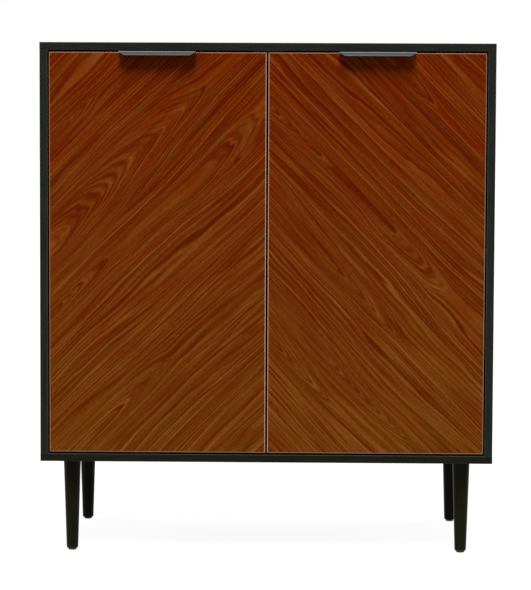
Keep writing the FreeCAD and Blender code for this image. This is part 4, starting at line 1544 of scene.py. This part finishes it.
@dataclass
class Screws:
    """Pan-head screws with a cross recess, in every packed screw's place."""

    wardrobe: Wardrobe
    head_mm: float = 1.6
    head_radius_mm: float = 3.4
    head_sides: int = 24
    head_rings: int = 4
    dome_share: float = 0.78
    shank_mm: float = 10.0
    shank_radius_mm: float = 1.75
    shank_sides: int = 16
    slot_width_mm: float = 0.9
    slot_depth_mm: float = 1.0
    slot_reach: float = 1.05
    first_seed: int = 11

    def build(self) -> None:
        """Make the screws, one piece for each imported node."""
        recipe = self.recipe()
        plan = [("catch_screws", "case", Vector((0, 0, -1)))]
        for side in Side:
            word, inward = side.word, Vector((-side.value, 0, 0))
            plan += [
                (f"{word}_plate_screws", "case", inward),
                (f"{word}_arm_screws", "case", inward),
                (f"{word}_cup_screws", f"{word}_door", Vector((0, 1, 0))),
                (f"{word}_pull_screws", f"{word}_door", Vector((0, 1, 0))),
                (f"{word}_strike_screw", f"{word}_door", Vector((0, 1, 0))),
            ]
        for seed, (node, body, way) in enumerate(plan, start=self.first_seed):
            places = []
            length = 0.0
            for low, high in islands(node):
                middle, span = (low + high) / 2, high - low
                length = abs(span.dot(way))
                face = middle + way * (length / 2 - self.head_mm * MM)
                places.append((face, way))
            piece = recipe.run(
                f"{node}_round",
                points_with_axes(places),
                self.wardrobe.made["zinc_plated_steel"],
                seed,
                {"Shank Length": length - self.head_mm * MM},
            )
            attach(piece, body)
            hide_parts(node)
            log.info("%s: %d screws", piece.name, len(places))

    def recipe(self) -> NodeRecipe:
        """Describe one screw, its head's foot at the origin and facing up.

        Returns:
            The tree.
        """
        screw = NodeRecipe(
            "cross_recess_screw",
            {
                "Head Radius": self.head_radius_mm * MM,
                "Head Height": self.head_mm * MM,
                "Shank Radius": self.shank_radius_mm * MM,
                "Shank Length": self.shank_mm * MM,
                "Slot Width": self.slot_width_mm * MM,
                "Slot Depth": self.slot_depth_mm * MM,
            },
        )
        tree, given = screw.tree, screw.given
        cut = add_node(
            tree, "GeometryNodeMeshBoolean", {"Mesh 1": self.head(screw)}, operation="DIFFERENCE"
        )
        for bar in self.recess(screw):
            tree.links.new(bar.outputs[0], cut.inputs["Mesh 2"])
        sunk = add_node(
            tree, "ShaderNodeMath", {0: given["Shank Length"], 1: -0.5}, operation="MULTIPLY"
        )
        rod = add_node(
            tree,
            "GeometryNodeMeshCylinder",
            {
                "Vertices": self.shank_sides,
                "Side Segments": 1,
                "Radius": given["Shank Radius"],
                "Depth": given["Shank Length"],
            },
        )
        drop = add_node(tree, "ShaderNodeCombineXYZ", {"Z": sunk})
        shank = add_node(
            tree, "GeometryNodeTransform", {"Geometry": rod, "Translation": drop}
        )
        whole = add_node(tree, "GeometryNodeJoinGeometry")
        for source in (cut, shank):
            tree.links.new(source.outputs[0], whole.inputs[0])
        screw.finish(whole)
        return screw

    def head(self, screw: NodeRecipe) -> Node:
        """Make the domed head without its recess.

        Args:
            screw: The tree of the screw.

        Returns:
            The head.
        """
        tree, given = screw.tree, screw.given
        blank = add_node(
            tree,
            "GeometryNodeMeshCylinder",
            {
                "Vertices": self.head_sides,
                "Side Segments": self.head_rings,
                "Radius": 1.0,
                "Depth": 1.0,
            },
        )
        spot = add_node(tree, "GeometryNodeInputPosition")
        x, y, z = add_node(tree, "ShaderNodeSeparateXYZ", {"Vector": spot}).outputs
        share = add_node(tree, "ShaderNodeMath", {0: z, 1: 0.5}, operation="ADD")
        part = add_node(
            tree, "ShaderNodeMath", {0: share, 1: self.dome_share}, operation="MULTIPLY"
        )
        squared = add_node(tree, "ShaderNodeMath", {0: part, 1: part}, operation="MULTIPLY")
        rest = add_node(tree, "ShaderNodeMath", {0: 1.0, 1: squared}, operation="SUBTRACT")
        dome = add_node(tree, "ShaderNodeMath", {0: rest}, operation="SQRT")
        radius = add_node(
            tree, "ShaderNodeMath", {0: dome, 1: given["Head Radius"]}, operation="MULTIPLY"
        )
        wide = add_node(tree, "ShaderNodeMath", {0: x, 1: radius}, operation="MULTIPLY")
        deep = add_node(tree, "ShaderNodeMath", {0: y, 1: radius}, operation="MULTIPLY")
        height = add_node(
            tree, "ShaderNodeMath", {0: share, 1: given["Head Height"]}, operation="MULTIPLY"
        )
        placed = add_node(tree, "ShaderNodeCombineXYZ", {"X": wide, "Y": deep, "Z": height})
        return add_node(
            tree, "GeometryNodeSetPosition", {"Geometry": blank, "Position": placed}
        )

    def recess(self, screw: NodeRecipe) -> list[Node]:
        """Make the two bars that cut the cross recess.

        Args:
            screw: The tree of the screw.

        Returns:
            The bars, one each way, round the head's top.
        """
        tree, given = screw.tree, screw.given
        reach = add_node(
            tree,
            "ShaderNodeMath",
            {0: given["Head Radius"], 1: self.slot_reach},
            operation="MULTIPLY",
        )
        both_ways = add_node(
            tree, "ShaderNodeMath", {0: given["Slot Depth"], 1: 2.0}, operation="MULTIPLY"
        )
        lift = add_node(tree, "ShaderNodeCombineXYZ", {"Z": given["Head Height"]})
        bars = []
        for wide, long in ((given["Slot Width"], reach), (reach, given["Slot Width"])):
            size = add_node(tree, "ShaderNodeCombineXYZ", {"X": wide, "Y": long, "Z": both_ways})
            cube = add_node(tree, "GeometryNodeMeshCube", {"Size": size})
            bars.append(
                add_node(tree, "GeometryNodeTransform", {"Geometry": cube, "Translation": lift})
            )
        return bars


@dataclass
class Studio:
    """Pale floor, plain soft light, and the camera."""

    floor_size: float = 40.0
    floor_bounce: float = 0.2
    floor_shaded: float = 0.1
    floor_glow: float = 0.93
    sky_low: float = 0.16
    sky_high: float = 0.55
    lamp_angle_deg: float = 26.0
    key_strength: float = 3.9
    key_height_deg: float = 58.0
    fill_strength: float = 1.3
    fill_turn_deg: float = 118.0
    fill_height_deg: float = 35.0
    camera_place: tuple[float, float, float] = (0.0553, -3.6407, 0.7204)
    yaw_deg: float = 0.946
    pitch_deg: float = 3.867
    roll_deg: float = 0.235
    lens: float = 138.07
    shift_y: float = -0.0855

    def build(self) -> None:
        """Set the stage."""
        bpy.context.scene.view_settings.view_transform = "Standard"
        self.build_floor()
        self.build_light()
        self.build_camera()
        log.info("studio ready")

    def build_floor(self) -> None:
        """Lay a plain floor that shows white, with a trace of the object's shadow."""
        half = self.floor_size / 2
        mesh = bpy.data.meshes.new("floor")
        mesh.from_pydata(
            [(-half, -half, 0), (half, -half, 0), (half, half, 0), (-half, half, 0)],
            [],
            [(0, 1, 2, 3)],
        )
        floor = place_mesh("floor", mesh)
        material = bpy.data.materials.new("studio_floor")
        material.use_nodes = True
        tree = material.node_tree
        tree.nodes.clear()
        bounce, shaded = (
            add_node(tree, "ShaderNodeBsdfDiffuse", {"Color": (grey, grey, grey, 1.0)})
            for grey in (self.floor_bounce, self.floor_shaded)
        )
        glow = add_node(tree, "ShaderNodeEmission", {"Strength": self.floor_glow})
        shown = add_node(tree, "ShaderNodeAddShader", {0: shaded, 1: glow})
        chosen = add_node(
            tree, "ShaderNodeMixShader", {0: self.seen_ray(tree), 1: bounce, 2: shown}
        )
        add_node(tree, "ShaderNodeOutputMaterial", {"Surface": chosen})
        mesh.materials.append(material)

    def seen_ray(self, tree: Tree) -> Node:
        """Tell camera, mirror and see-through rays from the rest.

        Args:
            tree: The tree that asks.

        Returns:
            1 for those rays, 0 for light that bounces.
        """
        ray = add_node(tree, "ShaderNodeLightPath").outputs
        pair = add_node(
            tree,
            "ShaderNodeMath",
            {0: ray["Is Camera Ray"], 1: ray["Is Glossy Ray"]},
            operation="MAXIMUM",
        )
        return add_node(
            tree,
            "ShaderNodeMath",
            {0: pair, 1: ray["Is Transmission Ray"]},
            operation="MAXIMUM",
        )

    def build_light(self) -> None:
        """Hang a broad lamp above the front and one at each side, under a pale sky."""
        world = bpy.data.worlds.new("studio")
        bpy.context.scene.world = world
        world.use_nodes = True
        tree = world.node_tree
        tree.nodes.clear()
        way = add_node(tree, "ShaderNodeTexCoord").outputs["Generated"]
        up = add_node(tree, "ShaderNodeSeparateXYZ", {"Vector": way}).outputs["Z"]
        sky = add_node(
            tree,
            "ShaderNodeMapRange",
            {"Value": up, "To Min": self.sky_low, "To Max": self.sky_high},
        )
        strength = add_node(tree, "ShaderNodeMix", {0: self.seen_ray(tree), 2: sky, 3: 1.0})
        light = add_node(
            tree,
            "ShaderNodeBackground",
            {"Color": (1.0, 1.0, 1.0, 1.0), "Strength": strength},
        )
        add_node(tree, "ShaderNodeOutputWorld", {"Surface": light})
        for name, energy, height_deg, turn_deg in (
            ("key", self.key_strength, self.key_height_deg, 0.0),
            ("left_fill", self.fill_strength, self.fill_height_deg, -self.fill_turn_deg),
            ("right_fill", self.fill_strength, self.fill_height_deg, self.fill_turn_deg),
        ):
            data = bpy.data.lights.new(name, "SUN")
            data.energy = energy
            data.angle = math.radians(self.lamp_angle_deg)
            lamp = bpy.data.objects.new(name, data)
            bpy.context.scene.collection.objects.link(lamp)
            lamp.rotation_euler = (math.radians(90 - height_deg), 0.0, math.radians(turn_deg))

    def build_camera(self) -> None:
        """Stand the camera a little right of the middle, just below the top's height."""
        data = bpy.data.cameras.new("camera")
        data.lens = self.lens
        data.shift_y = self.shift_y
        camera = bpy.data.objects.new("camera", data)
        bpy.context.scene.collection.objects.link(camera)
        aim = (
            Matrix.Rotation(math.radians(self.yaw_deg), 4, "Z")
            @ Matrix.Rotation(math.radians(90 - self.pitch_deg), 4, "X")
            @ Matrix.Rotation(math.radians(self.roll_deg), 4, "Z")
        )
        camera.matrix_world = Matrix.Translation(self.camera_place) @ aim
        bpy.context.scene.camera = camera


def main() -> None:
    """Build the pieces in order."""
    Studio().build()
    wardrobe = Wardrobe()
    wardrobe.build()
    Case(wardrobe).build()
    Legs(wardrobe).build()
    for side in Side:
        Door(wardrobe, side).build()
    HingeArms(wardrobe).build()
    Screws(wardrobe).build()
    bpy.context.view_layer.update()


if __name__ == "__main__":
    main()
